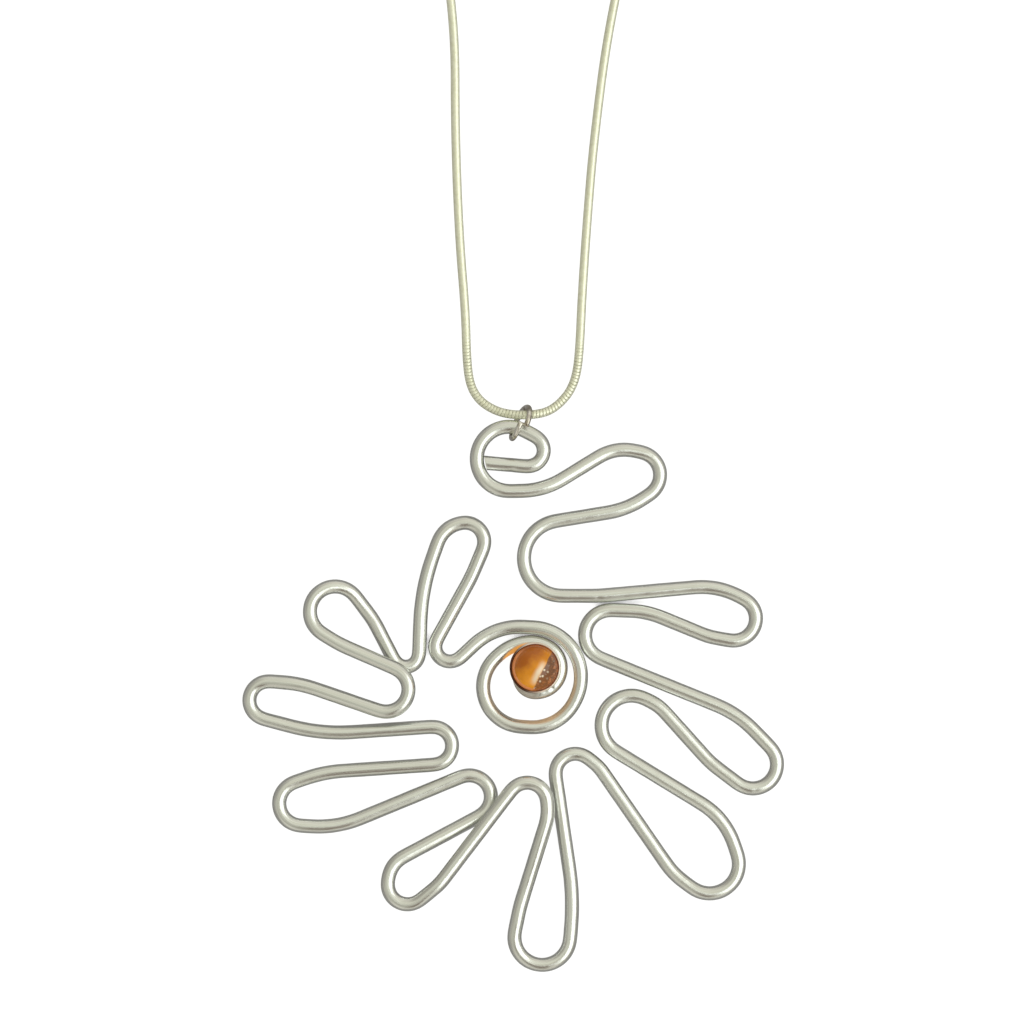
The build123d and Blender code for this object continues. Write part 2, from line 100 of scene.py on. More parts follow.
BENDS = (
    Bend("curl_end", LEFT, -0.023, 0.721, 0.077, 0.57),
    Bend("curl_top", LEFT, -0.087, 0.693, 0.131, 0.57),
    Bend("curl_foot", LEFT, -0.046, 0.847, 0.284, 0.45),
    Bend("petal_1_shoulder", RIGHT, 0.297, 0.563, 0.185, 0.15),
    Bend("petal_1_tip", RIGHT, 0.340, 0.640, 0.101, 0.0),
    Bend("petal_1_heel", RIGHT, 0.194, 0.811, 0.324, 0.0),
    Bend("valley_1", LEFT, 0.088, 0.363, 0.149, 0.0),
    Bend("valley_1_run", LEFT, 0.190, 0.738, 0.524, 0.0),
    Bend("petal_2_shoulder", RIGHT, 0.555, 0.001, 0.290, 0.0),
    Bend("petal_2_tip", RIGHT, 0.662, 0.162, 0.098, 0.0),
    Bend("petal_2_heel", RIGHT, 0.635, 0.297, 0.226, 0.0),
    Bend("valley_2_top", LEFT, 0.308, -0.112, 0.324, 0.0),
    Bend("valley_2", LEFT, 0.249, 0.107, 0.107, 0.0),
    Bend("petal_3_shoulder", RIGHT, 0.466, -0.465, 0.390, 0.0),
    Bend("petal_3_tip", RIGHT, 0.725, -0.323, 0.105, 0.0),
    Bend("petal_3_heel", RIGHT, 0.788, -0.096, 0.324, 0.0),
    Bend("valley_3_top", LEFT, 0.326, -0.241, 0.164, 0.0),
    Bend("valley_3", LEFT, 0.321, -0.194, 0.124, 0.0),
    Bend("petal_4_shoulder", RIGHT, 0.425, -0.668, 0.274, 0.0),
    Bend("petal_4_tip", RIGHT, 0.581, -0.655, 0.122, 0.0),
    Bend("petal_4_heel", RIGHT, 0.642, -0.511, 0.274, 0.0),
    Bend("valley_4_top", LEFT, 0.125, -0.415, 0.144, 0.0),
    Bend("valley_4", LEFT, 0.134, -0.353, 0.090, 0.0),
    Bend("petal_5_shoulder", RIGHT, -0.708, -0.793, 0.855, 0.0),
    Bend("petal_5_tip", RIGHT, 0.024, -0.898, 0.117, 0.0),
    Bend("petal_5_heel", RIGHT, 0.370, -0.903, 0.457, 0.35),
    Bend("valley_5_flank", LEFT, -0.112, -0.473, 0.178, 0.9),
    Bend("valley_5", LEFT, -0.026, -0.446, 0.090, 1.0),
    Bend("petal_6_shoulder", RIGHT, -0.437, -0.602, 0.190, 0.85),
    Bend("petal_6_tip", RIGHT, -0.424, -0.721, 0.090, 0.55),
    Bend("petal_6_heel", RIGHT, -0.395, -0.712, 0.117, 0.4),
    Bend("valley_6", LEFT, -0.218, -0.431, 0.096, 0.0),
    Bend("petal_7_shoulder", RIGHT, -0.720, -0.164, 0.390, 0.0),
    Bend("petal_7_tip", RIGHT, -0.778, -0.453, 0.098, 0.0),
    Bend("petal_7_heel", RIGHT, -0.610, -0.810, 0.490, 0.0),
    Bend("valley_7", LEFT, -0.338, -0.261, 0.087, 0.0),
    Bend("petal_8_shoulder", RIGHT, -0.650, 0.416, 0.657, 0.0),
    Bend("petal_8_tip", RIGHT, -0.887, -0.110, 0.088, 0.1),
    Bend("petal_8_heel", RIGHT, -0.861, -0.449, 0.424, 0.4),
    Bend("valley_8", LEFT, -0.494, -0.071, 0.099, 1.08),
    Bend("petal_9_shoulder", RIGHT, -0.461, 0.439, 0.430, 0.85),
    Bend("petal_9_tip", RIGHT, -0.664, 0.186, 0.108, 0.7),
    Bend("petal_9_heel", RIGHT, -0.778, 0.006, 0.307, 0.15),
    Bend("valley_9", LEFT, -0.430, 0.044, 0.068, 0.0),
    Bend("petal_10_shoulder", RIGHT, 0.351, 0.123, 0.757, 0.0),
    Bend("petal_10_top", RIGHT, -0.232, 0.385, 0.120, 0.0),
    Bend("petal_10_tip", RIGHT, -0.232, 0.418, 0.088, 0.0),
    Bend("petal_10_heel", RIGHT, -0.663, 0.518, 0.524, 0.0),
    Bend("valley_10", LEFT, -0.283, 0.068, 0.074, 0.0),
    Bend("spiral_entry", RIGHT, -0.050, -0.089, 0.248, 0.0),
    Bend("spiral_right", RIGHT, -0.012, -0.032, 0.189, 0.3),
    Bend("spiral_foot", RIGHT, -0.007, -0.045, 0.179, 0.0),
    Bend("spiral_left", RIGHT, -0.040, -0.065, 0.157, 0.0),
    Bend("spiral_rise", RIGHT, -0.013, -0.078, 0.185, 0.0),
    Bend("spiral_crown", RIGHT, -0.012, -0.017, 0.125, 0.0),
    Bend("spiral_inner", RIGHT, 0.004, -0.002, 0.106, 0.0),
)

# The chain's route in millimetres from the table under the jump ring, from its left cap to its right cap.
CHAIN_ROUTE = (
    (-25.0, 186.1, 1.2),
    (-35.0, 177.9, 0.6),
    (-41.5, 160.4, 0.6),
    (-40.0, 136.9, 0.6),
    (-31.5, 113.9, 0.6),
    (-20.6, 93.4, 0.6),
    (-12.1, 74.9, 0.6),
    (-9.09, 56.88, 0.6),
    (-9.05, 40.38, 0.6),
    (-8.5, 26.18, 0.6),
    (-7.61, 15.58, 0.6),
    (-7.44, 8.88, 0.75),
    (-6.99, 5.33, 1.05),
    (-5.69, 3.13, 1.4),
    (-3.44, 1.68, 1.8),
    (-1.04, 1.12, 2.3),
    (1.9, 1.12, 2.3),
    (4.11, 1.63, 1.8),
    (5.92, 3.05, 1.4),
    (7.22, 4.8, 1.05),
    (8.03, 7.2, 0.75),
    (8.41, 11.38, 0.6),
    (8.66, 17.28, 0.6),
    (9.36, 27.88, 0.6),
    (10.36, 39.88, 0.6),
    (12.61, 56.88, 0.6),
    (17.2, 75.9, 0.6),
    (25.6, 94.9, 0.6),
    (34.5, 115.4, 0.6),
    (41.0, 137.9, 0.6),
    (41.5, 160.9, 0.6),
    (35.0, 177.9, 0.6),
    (25.0, 186.1, 1.2),
)


class Mark(NamedTuple):
    """A tool mark on the wire."""
    name: str
    x: float               # the place of the wire nearest to it
    y: float
    round_wire: float      # degrees from the wire's right side over its top
    depth: float
    length: float
    width: float           # degrees of the wire's round that it covers


MARKS = (
    Mark("curl pinch", -3.25, 27.55, 35.0, 0.08, 0.5, 34.0),
    Mark("curl crease", 0.65, 28.95, 60.0, 0.04, 0.22, 40.0),
    Mark("valley 1 nick", 8.8, 10.35, 60.0, 0.03, 0.35, 26.0),
    Mark("valley 4 nick", 2.35, -20.4, 80.0, 0.04, 0.4, 30.0),
    Mark("spiral end nick", 1.4, -3.5, 60.0, 0.10, 0.3, 34.0),
    Mark("spiral end bite", 2.5, -3.1, 100.0, 0.11, 0.22, 30.0),
    Mark("petal 3 nick", 30.8, -17.0, 120.0, 0.04, 0.4, 28.0),
    Mark("petal 6 nick", -18.3, -31.6, 70.0, 0.04, 0.5, 30.0),
)


class Stripe(NamedTuple):
    """Part of a ring on the wire, seen from above, that gets a colour of its own: painted reflection and
    painted glow of the amber's light, and the hammered pad's duller metal.
    """
    name: str
    x: float               # the ring's centre
    y: float
    inner: float           # the ring's two radii
    outer: float
    middle: float          # degrees from +X of the stripe's middle
    half: float            # degrees from its middle to where it has faded
    colour: str
    strength: float
    metal: float
    roughness: float
    glow: float


# The first four stripes are painted light: the amber's light and its reflection laid on the wire as colour
# and a little glow. The last is the pad's own dull finish.
STRIPES = (
    Stripe("amber's light on the wire", -0.28, -1.63, 3.9, 5.12, 122.0, 30.0, "#FFC470", 1.0, 0.1, 0.4, 0.42),
    Stripe("amber's glow, right", -0.29, -1.89, 5.2, 6.1, -28.0, 62.0, "#F0D6B4", 0.85, 0.7, 0.32, 0.01),
    Stripe("amber's glow, foot", -0.29, -1.89, 5.2, 6.0, -100.0, 58.0, "#F4D6B2", 0.85, 0.7, 0.32, 0.03),
    Stripe("amber's glow, left", -1.68, -2.73, 4.4, 5.1, 178.0, 55.0, "#E6CFB0", 0.6, 0.8, 0.32, 0.01),
    Stripe("hammered pad", 0.17, -0.08, 2.6, 4.3, 246.0, 34.0, "#C6BDB2", 0.9, 0.75, 0.40, 0.0),
)


# Helpers for nodes

def linear(hex_colour: str) -> Colour:
    """Turn an sRGB hex colour into linear RGBA.

    Args:
        hex_colour: Six hex digits after a hash sign.

    Returns:
        The linear colour with alpha 1.
    """
    channels = [int(hex_colour[at:at + 2], 16) / 255 for at in (1, 3, 5)]
    red, green, blue = [value / 12.92 if value <= 0.04045 else ((value + 0.055) / 1.055) ** 2.4
                        for value in channels]
    return red, green, blue, 1.0


def direction(azimuth: float, polar: float = 90.0) -> tuple[float, float, float]:
    """The unit vector this many degrees from +X toward +Y and from straight up."""
    level = sin(radians(polar))
    return level * cos(radians(azimuth)), level * sin(radians(azimuth)), cos(radians(polar))


def add_node(tree: NodeTree, kind: str, settings: dict | None = None,
             links: dict[int | str, Source] | None = None) -> Node:
    """Add a shader node with its settings and links.

    Args:
        tree: The node tree that gets the node.
        kind: The node's type name after ShaderNode.
        settings: Values by property name, input name or input number; "stops" fills a colour ramp.
        links: What feeds the inputs, by name or number: a socket, or a node for its first output.

    Returns:
        The new node.
    """
    node = tree.nodes.new("ShaderNode" + kind)
    for key, value in (settings or {}).items():
        if key == "stops":
            elements = node.color_ramp.elements
            while len(elements) < len(value):
                elements.new(0.5)
            for element, (position, colour) in zip(elements, value):
                element.position, element.color = position, linear(colour)
        elif isinstance(key, str) and hasattr(node, key) and key not in node.inputs:
            setattr(node, key, value)
        else:
            node.inputs[key].default_value = value
    for key, source in (links or {}).items():
        tree.links.new(source.outputs[0] if isinstance(source, Node) else source, node.inputs[key])
    return node


def new_material(name: str) -> tuple[Material, NodeTree]:
    """A named material with an empty node tree."""
    material = bpy.data.materials.new(name)
    material.use_nodes = True
    material.node_tree.nodes.clear()
    return material, material.node_tree


class Fade(NamedTuple):
    """Where along a measure something begins to show, where it shows in full, and how strongly."""
    start: float
    full: float
    strength: float = 1.0


def smooth(tree: NodeTree, value: Source, low: float, high: float, strength: float = 1.0) -> Node:
    """A smooth rise from nothing where the value is low to strength where it is high."""
    return add_node(tree, "MapRange", {
        "interpolation_type": "SMOOTHSTEP", 1: low, 2: high, 3: 0.0, 4: strength}, {0: value})


def joined(tree: NodeTree, operation: str, *parts: Source) -> Source:
    """Several shares joined by one operation, such as their sum or their product."""
    first = parts[0]
    for part in parts[1:]:
        first = add_node(tree, "Math", {"operation": operation}, {0: first, 1: part})
    return first


def toward(tree: NodeTree, place: Source, way: Sequence[float], offset: float = 0.0) -> Source:
    """How far a place lies in a direction past an offset."""
    reach = add_node(tree, "VectorMath", {"operation": "DOT_PRODUCT", 1: way}, {0: place}).outputs["Value"]
    return add_node(tree, "Math", {"operation": "SUBTRACT", 1: offset}, {0: reach}) if offset else reach


def blend(tree: NodeTree, under: Source, over: str, share: Source) -> NodeSocket:
    """A colour laid over another where a share says so."""
    return add_node(tree, "Mix", {"data_type": "RGBA", 7: linear(over)}, {0: share, 6: under}).outputs[2]


def from_stone(tree: NodeTree) -> Node:
    """A point's place over the table, in millimetres from the stone's middle, its height left out."""
    place = add_node(tree, "TexCoord")
    local = add_node(tree, "VectorMath", {"operation": "SUBTRACT", 1: tuple(ORIGIN * MM)},
                     {0: place.outputs["Object"]})
    return add_node(tree, "VectorMath", {"operation": "MULTIPLY", 1: (1 / MM, 1 / MM, 0.0)}, {0: local})


# Helpers for meshes

def new_piece(name: str, points: np.ndarray, faces: Sequence[Sequence[int]], finish: Material,
              replaced: str, uv: np.ndarray | None = None) -> Object:
    """Make one piece of the necklace from mesh data, riding on the part's only body.

    Args:
        name: The piece's name.
        points: Vertex places in millimetres from the table under the stone, one row each.
        faces: Vertex numbers of each face.
        finish: The piece's material.
        replaced: The CAD node that the piece stands for.
        uv: One row for each corner of each face, if the finish needs it.

    Returns:
        The new object.
    """
    mesh = bpy.data.meshes.new(name)
    mesh.from_pydata(((points + ORIGIN) * MM).tolist(), [], faces)
    if uv is not None:
        layer = mesh.uv_layers.new(name="lay")
        layer.data.foreach_set("uv", uv.astype(np.float32).ravel())
    mesh.polygons.foreach_set("use_smooth", [True] * len(mesh.polygons))
    mesh.materials.append(finish)
    mesh.validate()
    mesh.update()
    piece = bpy.data.objects.new(name, mesh)
    bpy.context.scene.collection.objects.link(piece)
    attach(piece, "root")
    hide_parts(replaced)
    log.info("%s: %d faces", name, len(mesh.polygons))
    return piece


def hide(thing: Object, *rays: str) -> None:
    """Hide an object from some kinds of ray."""
    for ray in rays:
        setattr(thing, "visible_" + ray, False)


def unit(rows: np.ndarray) -> np.ndarray:
    """The rows of a table of vectors, each made one long."""
    return rows / np.linalg.norm(rows, axis=1, keepdims=True)


def round_turns(sides: int) -> np.ndarray:
    """The angles of a ring's vertices."""
    return np.arange(sides) / sides * 2 * pi


def eased(share: np.ndarray) -> np.ndarray:
    """A share from 0 to 1 with a soft start and a soft end."""
    return share**2 * (3 - 2 * share)


def lengths_along(line: np.ndarray) -> np.ndarray:
    """The length of a line of points up to each of its points."""
    return np.concatenate([[0.0], np.cumsum(np.linalg.norm(np.diff(line, axis=0), axis=1))])


def between_rows(places: np.ndarray, along: np.ndarray, rows: np.ndarray) -> np.ndarray:
    """What a table says at these places, read between its rows, which stand at lengths along a line."""
    return np.stack([np.interp(places, along, column) for column in rows.T], axis=-1)


def resampled(line: np.ndarray, places: np.ndarray) -> np.ndarray:
    """The points of a line at these lengths along it."""
    return between_rows(places, lengths_along(line), line)


def frames_along(line: np.ndarray) -> tuple[np.ndarray, np.ndarray, np.ndarray]:
    """Directions at each point of a line that stays near the table.

    Args:
        line: The line's points.

    Returns:
        Unit vectors forward, to the right and upward, one row for each point.
    """
    forward = unit(np.gradient(line, axis=0))
    right = unit(np.cross(forward, [0.0, 0.0, 1.0]))
    return forward, right, np.cross(right, forward)


def swept(line: np.ndarray, right: np.ndarray, upward: np.ndarray, across: np.ndarray,
          height: np.ndarray) -> np.ndarray:
    """Rings of vertices round a line, at distances to its right and upward that have a row for each ring."""
    return line[:, None] + right[:, None] * across[:, :, None] + upward[:, None] * height[:, :, None]


def ring_corners(this: np.ndarray, that: np.ndarray, sides: int) -> np.ndarray:
    """Four-sided faces between pairs of rings of vertices.

    Args:
        this: Number of each pair's first ring.
        that: Number of its second.
        sides: Number of vertices in each ring.

    Returns:
        The ring and the side of each corner of each face.
    """
    side = np.tile(np.arange(sides), len(this))
    this, that = np.repeat(this, sides), np.repeat(that, sides)
    return np.stack([this, side, that, side, that, side + 1, this, side + 1], axis=1).reshape(-1, 4, 2)


def numbered(corners: np.ndarray, sides: int) -> list[list[int]]:
    """The vertex numbers of faces that are given by ring and side."""
    return (corners[:, :, 0] * sides + corners[:, :, 1] % sides).tolist()


def rod_faces(rings: int, sides: int) -> tuple[list[list[int]], np.ndarray]:
    """Faces of a closed rod whose rings of vertices follow each other, with one flat face at each end.

    Args:
        rings: Number of rings of vertices.
        sides: Number of vertices in each.

    Returns:
        The faces, and the ring and side of each corner of the four-sided ones.
    """
    corners = ring_corners(np.arange(rings - 1), np.arange(1, rings), sides)
    ring = list(range(sides))
    last = [(rings - 1) * sides + number for number in reversed(ring)]
    return numbered(corners, sides) + [ring, last], corners


# Finishes

@dataclass(frozen=True)
class DrawnWire:
    """Soft aluminium craft wire, drawn through a die and bent by hand: pale, satin, streaked lengthwise."""
    name: str = "soft aluminium, drawn"
    pale: str = "#F0F3EE"
    worn: str = "#E2E2DB"
    smooth: float = 0.20
    rough: float = 0.32
    streak_width: float = 0.16     # millimetres round the wire
    streak_length: float = 14.0    # millimetres along it
    streak_depth: float = 0.004
    dent_size: float = 1.3
    dent_depth: float = 0.02
    radius: float = 1.0            # the wire's
    # Painted glow: emission that stands for the amber's focused light on the wire.
    lit: str = "#FFA848"           # what the amber's focused light adds
    inner_fade: float = 0.1        # millimetres over which a stripe fades at its ring's two radii
    outer_fade: float = 0.2
    full: float = 0.55             # share of a stripe's half length that shows it in full

    def make(self) -> Material:
        """Build the material.

        Returns:
            Metal whose colour and roughness change in long narrow streaks along the wire, with soft dents
            from fingers and pliers, which give the highlight its fine lines and uneven edge.
        """
        material, tree = new_material(self.name)
        lay = add_node(tree, "UVMap", {"uv_map": "lay"})
        split = add_node(tree, "SeparateXYZ", {}, {0: lay})
        angle = add_node(tree, "Math", {"operation": "MULTIPLY", 1: 2 * pi}, {0: split})
        sides = [add_node(tree, "Math", {"operation": wave}, {0: angle}) for wave in ("COSINE", "SINE")]
        streaks = self.pattern(tree, sides, split.outputs[1], self.streak_width, self.streak_length)
        dents = self.pattern(tree, sides, split.outputs[1], self.dent_size, self.dent_size)
        colour = add_node(tree, "ValToRGB", {"stops": ((0.32, self.worn), (0.62, self.pale))}, {0: streaks})
        roughness = add_node(tree, "MapRange", {3: self.smooth, 4: self.rough}, {0: streaks})
        lines = add_node(tree, "Bump", {"Strength": 1.0, "Distance": self.streak_depth * MM},
                         {"Height": streaks})
        bumps = add_node(tree, "Bump", {"Strength": 1.0, "Distance": self.dent_depth * MM},
                         {"Height": dents, "Normal": lines})
        plains: list[Node] = []
        glows: list[Node] = []
        local = from_stone(tree)
        # Painted light: the amber stripes put the stone's light and reflection on the wire as colour, less
        # metal and a little glow; the hammered pad's stripe is its own duller finish.
        for stripe in STRIPES:
            share = self.stripe(tree, local, stripe)
            colour = blend(tree, colour, stripe.colour, share)
            roughness = add_node(tree, "Mix", {"data_type": "FLOAT", 3: stripe.roughness},
                                 {0: share, 2: roughness})
            for shares, gain in ((plains, 1 - stripe.metal), (glows, stripe.glow)):
                shares.append(add_node(tree, "Math", {"operation": "MULTIPLY", 1: gain}, {0: share}))
        metallic = add_node(tree, "Math", {"operation": "SUBTRACT", 0: 1.0},
                            {1: joined(tree, "ADD", *plains)})
        metal = add_node(tree, "BsdfPrincipled", {"Emission Color": linear(self.lit)},
                         {"Base Color": colour, "Roughness": roughness, "Metallic": metallic,
                          "Emission Strength": joined(tree, "ADD", *glows), "Normal": bumps})
        add_node(tree, "OutputMaterial", {}, {0: metal})
        return material

    def stripe(self, tree: NodeTree, local: Node, stripe: Stripe) -> Source:
        """How much of a stripe shows at a point, full in its middle and faded at its edges.

        Args:
            tree: The material's tree.
            local: The point's place on the table in millimetres from the stone's middle.
            stripe: The stripe.

        Returns:
            A share from 0 to the stripe's strength.
        """
        centre = (stripe.x, stripe.y, 0.0)
        moved = add_node(tree, "VectorMath", {"operation": "SUBTRACT", 1: centre}, {0: local})
        far = add_node(tree, "VectorMath", {"operation": "LENGTH"}, {0: moved}).outputs["Value"]
        way = add_node(tree, "VectorMath", {"operation": "NORMALIZE"}, {0: moved})
        near = toward(tree, way, direction(stripe.middle))
        edge, full = cos(radians(stripe.half)), cos(radians(stripe.half * self.full))
        return joined(
            tree, "MULTIPLY",
            smooth(tree, far, stripe.inner - self.inner_fade, stripe.inner + self.inner_fade),
            smooth(tree, far, stripe.outer + self.outer_fade, stripe.outer - self.outer_fade),
            smooth(tree, near, edge, full, stripe.strength))

    def pattern(self, tree: NodeTree, sides: Sequence[Node], along: NodeSocket, width: float,
                length: float) -> Node:
        """Noise on the wire's surface with one size round the wire and another along it.

        Args:
            tree: The material's tree.
            sides: Nodes that give the cosine and the sine of the angle round the wire.
            along: Socket that gives the length along the wire in millimetres.
            width: Size round the wire in millimetres.
            length: Size along the wire in millimetres.

        Returns:
            The noise node.
        """
        far = add_node(tree, "Math", {"operation": "MULTIPLY", 1: width / length}, {0: along})
        across, upward = [add_node(tree, "Math", {"operation": "MULTIPLY", 1: self.radius}, {0: side})
                          for side in sides]
        place = add_node(tree, "CombineXYZ", {}, {0: across, 1: upward, 2: far})
        return add_node(tree, "TexNoise", {"Scale": 1 / width, "Detail": 2.5, "Roughness": 0.55},
                        {"Vector": place})


@dataclass(frozen=True)
class CastMetal:
    """A metal whose surface has even grain and soft unevenness, with no direction of its own."""
    name: str
    pale: str
    dark: str
    smooth: float
    rough: float
    grain: float                   # millimetres
    depth: float                   # millimetres
    bare: float = 1.0              # share of bare metal, the rest being dull film

    def make(self) -> Material:
        """Build the material.

        Returns:
            Metal whose colour and roughness vary a little from place to place, so that it looks handled.
        """
        material, tree = new_material(self.name)
        place = add_node(tree, "TexCoord")
        noise = add_node(tree, "TexNoise", {"Scale": 1 / (self.grain * MM), "Detail": 3.0},
                         {"Vector": place.outputs["Object"]})
        tint = add_node(tree, "ValToRGB", {"stops": ((0.35, self.dark), (0.6, self.pale))}, {0: noise})
        rough = add_node(tree, "MapRange", {3: self.smooth, 4: self.rough}, {0: noise})
        bump = add_node(tree, "Bump", {"Strength": 1.0, "Distance": self.depth * MM}, {"Height": noise})
        metal = add_node(tree, "BsdfPrincipled", {"Metallic": self.bare},
                         {"Base Color": tint, "Roughness": rough, "Normal": bump})
        add_node(tree, "OutputMaterial", {}, {0: metal})
        return material


@dataclass(frozen=True)
class BezelStrip:
    """Thin strip pressed round the stone: pale where the soft light meets it, brown in the stone's shade."""
    name: str = "bezel strip, burnished, with painted shade"
    pale: str = "#F0E2D4"
    shaded: str = "#53301C"
    roughness: float = 0.3
    shade_side: float = 196.0      # degrees from +X of the shaded side's middle
    shade_from: float = -0.34      # millimetres toward that side at which the shade begins
    shade_full: float = 2.55       # and at which it is full

    def make(self) -> Material:
        """Build the material.

        Returns:
            Metal that darkens softly toward the side away from the light.
        """
        material, tree = new_material(self.name)
        side = toward(tree, from_stone(tree), direction(self.shade_side))
        tint = add_node(tree, "Mix", {"data_type": "RGBA", 6: linear(self.pale), 7: linear(self.shaded)},
                        {0: smooth(tree, side, self.shade_from, self.shade_full)})
        metal = add_node(tree, "BsdfPrincipled", {"Metallic": 0.7, "Roughness": self.roughness},
                         {"Base Color": tint.outputs[2]})
        add_node(tree, "OutputMaterial", {}, {0: metal})
        return material


# Each metal with what its making gives the eye.
WIRE_FINISH = DrawnWire()
# Stamped steel links plated pale champagne and worn by rubbing: yellowish, softly bright.
CHAIN_FINISH = CastMetal("plated snake chain, champagne", "#FBFCE6", "#F2F3D8", 0.33, 0.45, 0.6, 0.004, 0.7)
# Steel wire cut and opened with pliers: brighter and greyer than the flower's wire, with brownish stains.
RING_FINISH = CastMetal("steel ring wire, handled", "#F2EFE6", "#B9AF9C", 0.12, 0.26, 0.8, 0.015)
# Turned and stamped steel fittings, tumbled bright.
FITTING_FINISH = CastMetal("tumbled steel", "#DEDDD6", "#C4C2B8", 0.14, 0.24, 0.5, 0.006)


@dataclass(frozen=True)
class Amber:
    """Pressed amber, ground to a dome and polished: clear honey with a cloudy brown side."""
    name: str = "amber, polished"
    honey: str = "#FFA814"
    brown: str = "#B86405"
    plum: str = "#965A22"
    mauve: str = "#7C543A"
    salmon: str = "#FFA466"
    rust: str = "#9A4A1C"
    # Painted highlight: the soft light's pale reflection along the crack; the bright flecks use the same
    # colour.
    highlight_and_fleck: str = "#FFF0D4"
    ior: float = 1.54
    roughness: float = 0.05
    clear: float = 0.15
    inner_light: float = 0.07      # share of its own colour that light caught inside gives back
    cloud: float = 1.7             # millimetres
    streak: float = 0.5            # millimetres
    fleck: float = 0.55            # millimetres between the bright flecks
    plane_angle: float = 63.0      # degrees from +X of the crack where the plum side begins
    plane_offset: float = 1.05     # millimetres from the stone's centre
    plane_waver: float = 0.5       # millimetres by which the clouds push the crack to and fro
    brown_way: tuple[float, float, float] = (-0.16, 0.24, 0.0)
    salmon_way: tuple[float, float, float] = (-0.95, -0.3, 0.0)
    crack: Fade = Fade(-0.08, 0.10)          # the plum side, by millimetres past the crack
    mauve_up: Fade = Fade(-2.4, 1.2)         # the mauve in it, by millimetres up along the crack
    # Where the painted highlight shows, by millimetres past and up along the crack.
    highlight_left: Fade = Fade(-1.15, -0.35, 0.85)
    highlight_right: Fade = Fade(0.25, -0.3)
    highlight_top: Fade = Fade(1.8, 0.3)
    highlight_foot: Fade = Fade(-2.6, -1.3)
    fleck_size: Fade = Fade(0.40, 0.15)      # by shares of the flecks' spacing
    fleck_band: Fade = Fade(1.5, 0.2)
    fleck_patches: Fade = Fade(0.44, 0.52)   # by the clouds' own value
    streak_lines: Fade = Fade(0.50, 0.68, 0.45)
    streak_edge: Fade = Fade(1.7, 2.6)       # by millimetres from the stone's middle, as the two below
    rust_edge: Fade = Fade(2.65, 3.15, 0.55)
    salmon_edge: Fade = Fade(2.75, 2.95)
    salmon_side: Fade = Fade(0.2, 2.0)

    def make(self) -> Material:
        """Build the material.

        Returns:
            Glossy tinted stone. Brown clouds fill its upper left, honey shows below them, and a healed crack
            with a painted pale highlight along it parts off a plum side on the right that has bright flecks.
        """
        material, tree = new_material(self.name)
        spot = from_stone(tree)
        noise = add_node(tree, "TexNoise", {"Scale": 1 / self.cloud, "Detail": 4.0}, {"Vector": spot})
        waver = add_node(tree, "Math", {
            "operation": "MULTIPLY_ADD", 1: self.plane_waver, 2: -self.plane_waver / 2}, {0: noise})
        across = toward(tree, spot, direction(self.plane_angle - 90), self.plane_offset)
        past = joined(tree, "ADD", across, waver)
        up = toward(tree, spot, direction(self.plane_angle))
        away = add_node(tree, "VectorMath", {"operation": "LENGTH"}, {0: spot}).outputs["Value"]
        body = self.body(tree, toward(tree, spot, self.brown_way), noise, past, up)
        side = self.side(tree, spot, noise, past, up, away)
        both = add_node(tree, "Mix", {"data_type": "RGBA"},
                        {0: smooth(tree, past, *self.crack), 6: body, 7: side}).outputs[2]
        both = blend(tree, both, self.rust, smooth(tree, away, *self.rust_edge))
        # Painted light: the rim turns salmon toward the lower left, the side away from the soft light, where
        # light through the stone comes out.
        both = blend(tree, both, self.salmon, joined(
            tree, "MULTIPLY", smooth(tree, away, *self.salmon_edge),
            smooth(tree, toward(tree, spot, self.salmon_way), *self.salmon_side)))
        stone = add_node(tree, "BsdfPrincipled",
                         {"Roughness": self.roughness, "IOR": self.ior, "Transmission Weight": self.clear,
                          "Emission Strength": self.inner_light},
                         {"Base Color": both, "Emission Color": both})
        add_node(tree, "OutputMaterial", {}, {0: stone})
        return material

    def body(self, tree: NodeTree, brown: Source, noise: Node, past: Source, up: Source) -> Source:
        """Honey that clouds over to brown, with a painted pale highlight along the crack.

        Args:
            tree: The material's tree.
            brown: How far a point lies toward the brown side.
            noise: The clouds.
            past: How far it lies past the crack, in millimetres.
            up: How far it lies up along the crack, in millimetres.

        Returns:
            The colour left of the crack.
        """
        cloudy = joined(tree, "ADD", brown, noise)
        colour = add_node(tree, "ValToRGB", {"stops": ((0.25, self.honey), (1.0, self.brown))}, {0: cloudy})
        # Painted highlight: the soft light's reflection laid along the crack as colour.
        return blend(tree, colour, self.highlight_and_fleck, joined(
            tree, "MULTIPLY", smooth(tree, past, *self.highlight_left), smooth(tree, past, *self.highlight_right),
            smooth(tree, up, *self.highlight_top), smooth(tree, up, *self.highlight_foot)))

    def side(self, tree: NodeTree, spot: Node, noise: Node, past: Source, up: Source, away: Source) -> Source:
        """Plum with salmon streaks near its edge and bright flecks near the crack.

        Args:
            tree: The material's tree.
            spot: A point's place in millimetres from the stone's middle.
            noise: The clouds.
            past: How far the point lies past the crack, in millimetres.
            up: How far it lies up along the crack, in millimetres.
            away: How far it lies from the stone's middle, in millimetres.

        Returns:
            The colour right of the crack.
        """
        colour = add_node(tree, "Mix", {"data_type": "RGBA", 6: linear(self.plum), 7: linear(self.mauve)},
                          {0: smooth(tree, up, *self.mauve_up)}).outputs[2]
        flecks = add_node(tree, "TexVoronoi", {"Scale": 1 / self.fleck}, {"Vector": spot})
        specks = joined(tree, "MULTIPLY", smooth(tree, flecks, *self.fleck_size),
                        smooth(tree, past, *self.fleck_band), smooth(tree, noise, *self.fleck_patches))
        streaks = add_node(tree, "TexNoise", {"Scale": 1 / self.streak, "Detail": 3.0, "Distortion": 1.2},
                           {"Vector": spot})
        lines = joined(tree, "MULTIPLY", smooth(tree, streaks, *self.streak_lines),
                       smooth(tree, away, *self.streak_edge))
        return blend(tree, blend(tree, colour, self.salmon, lines), self.highlight_and_fleck, specks)


# Pieces

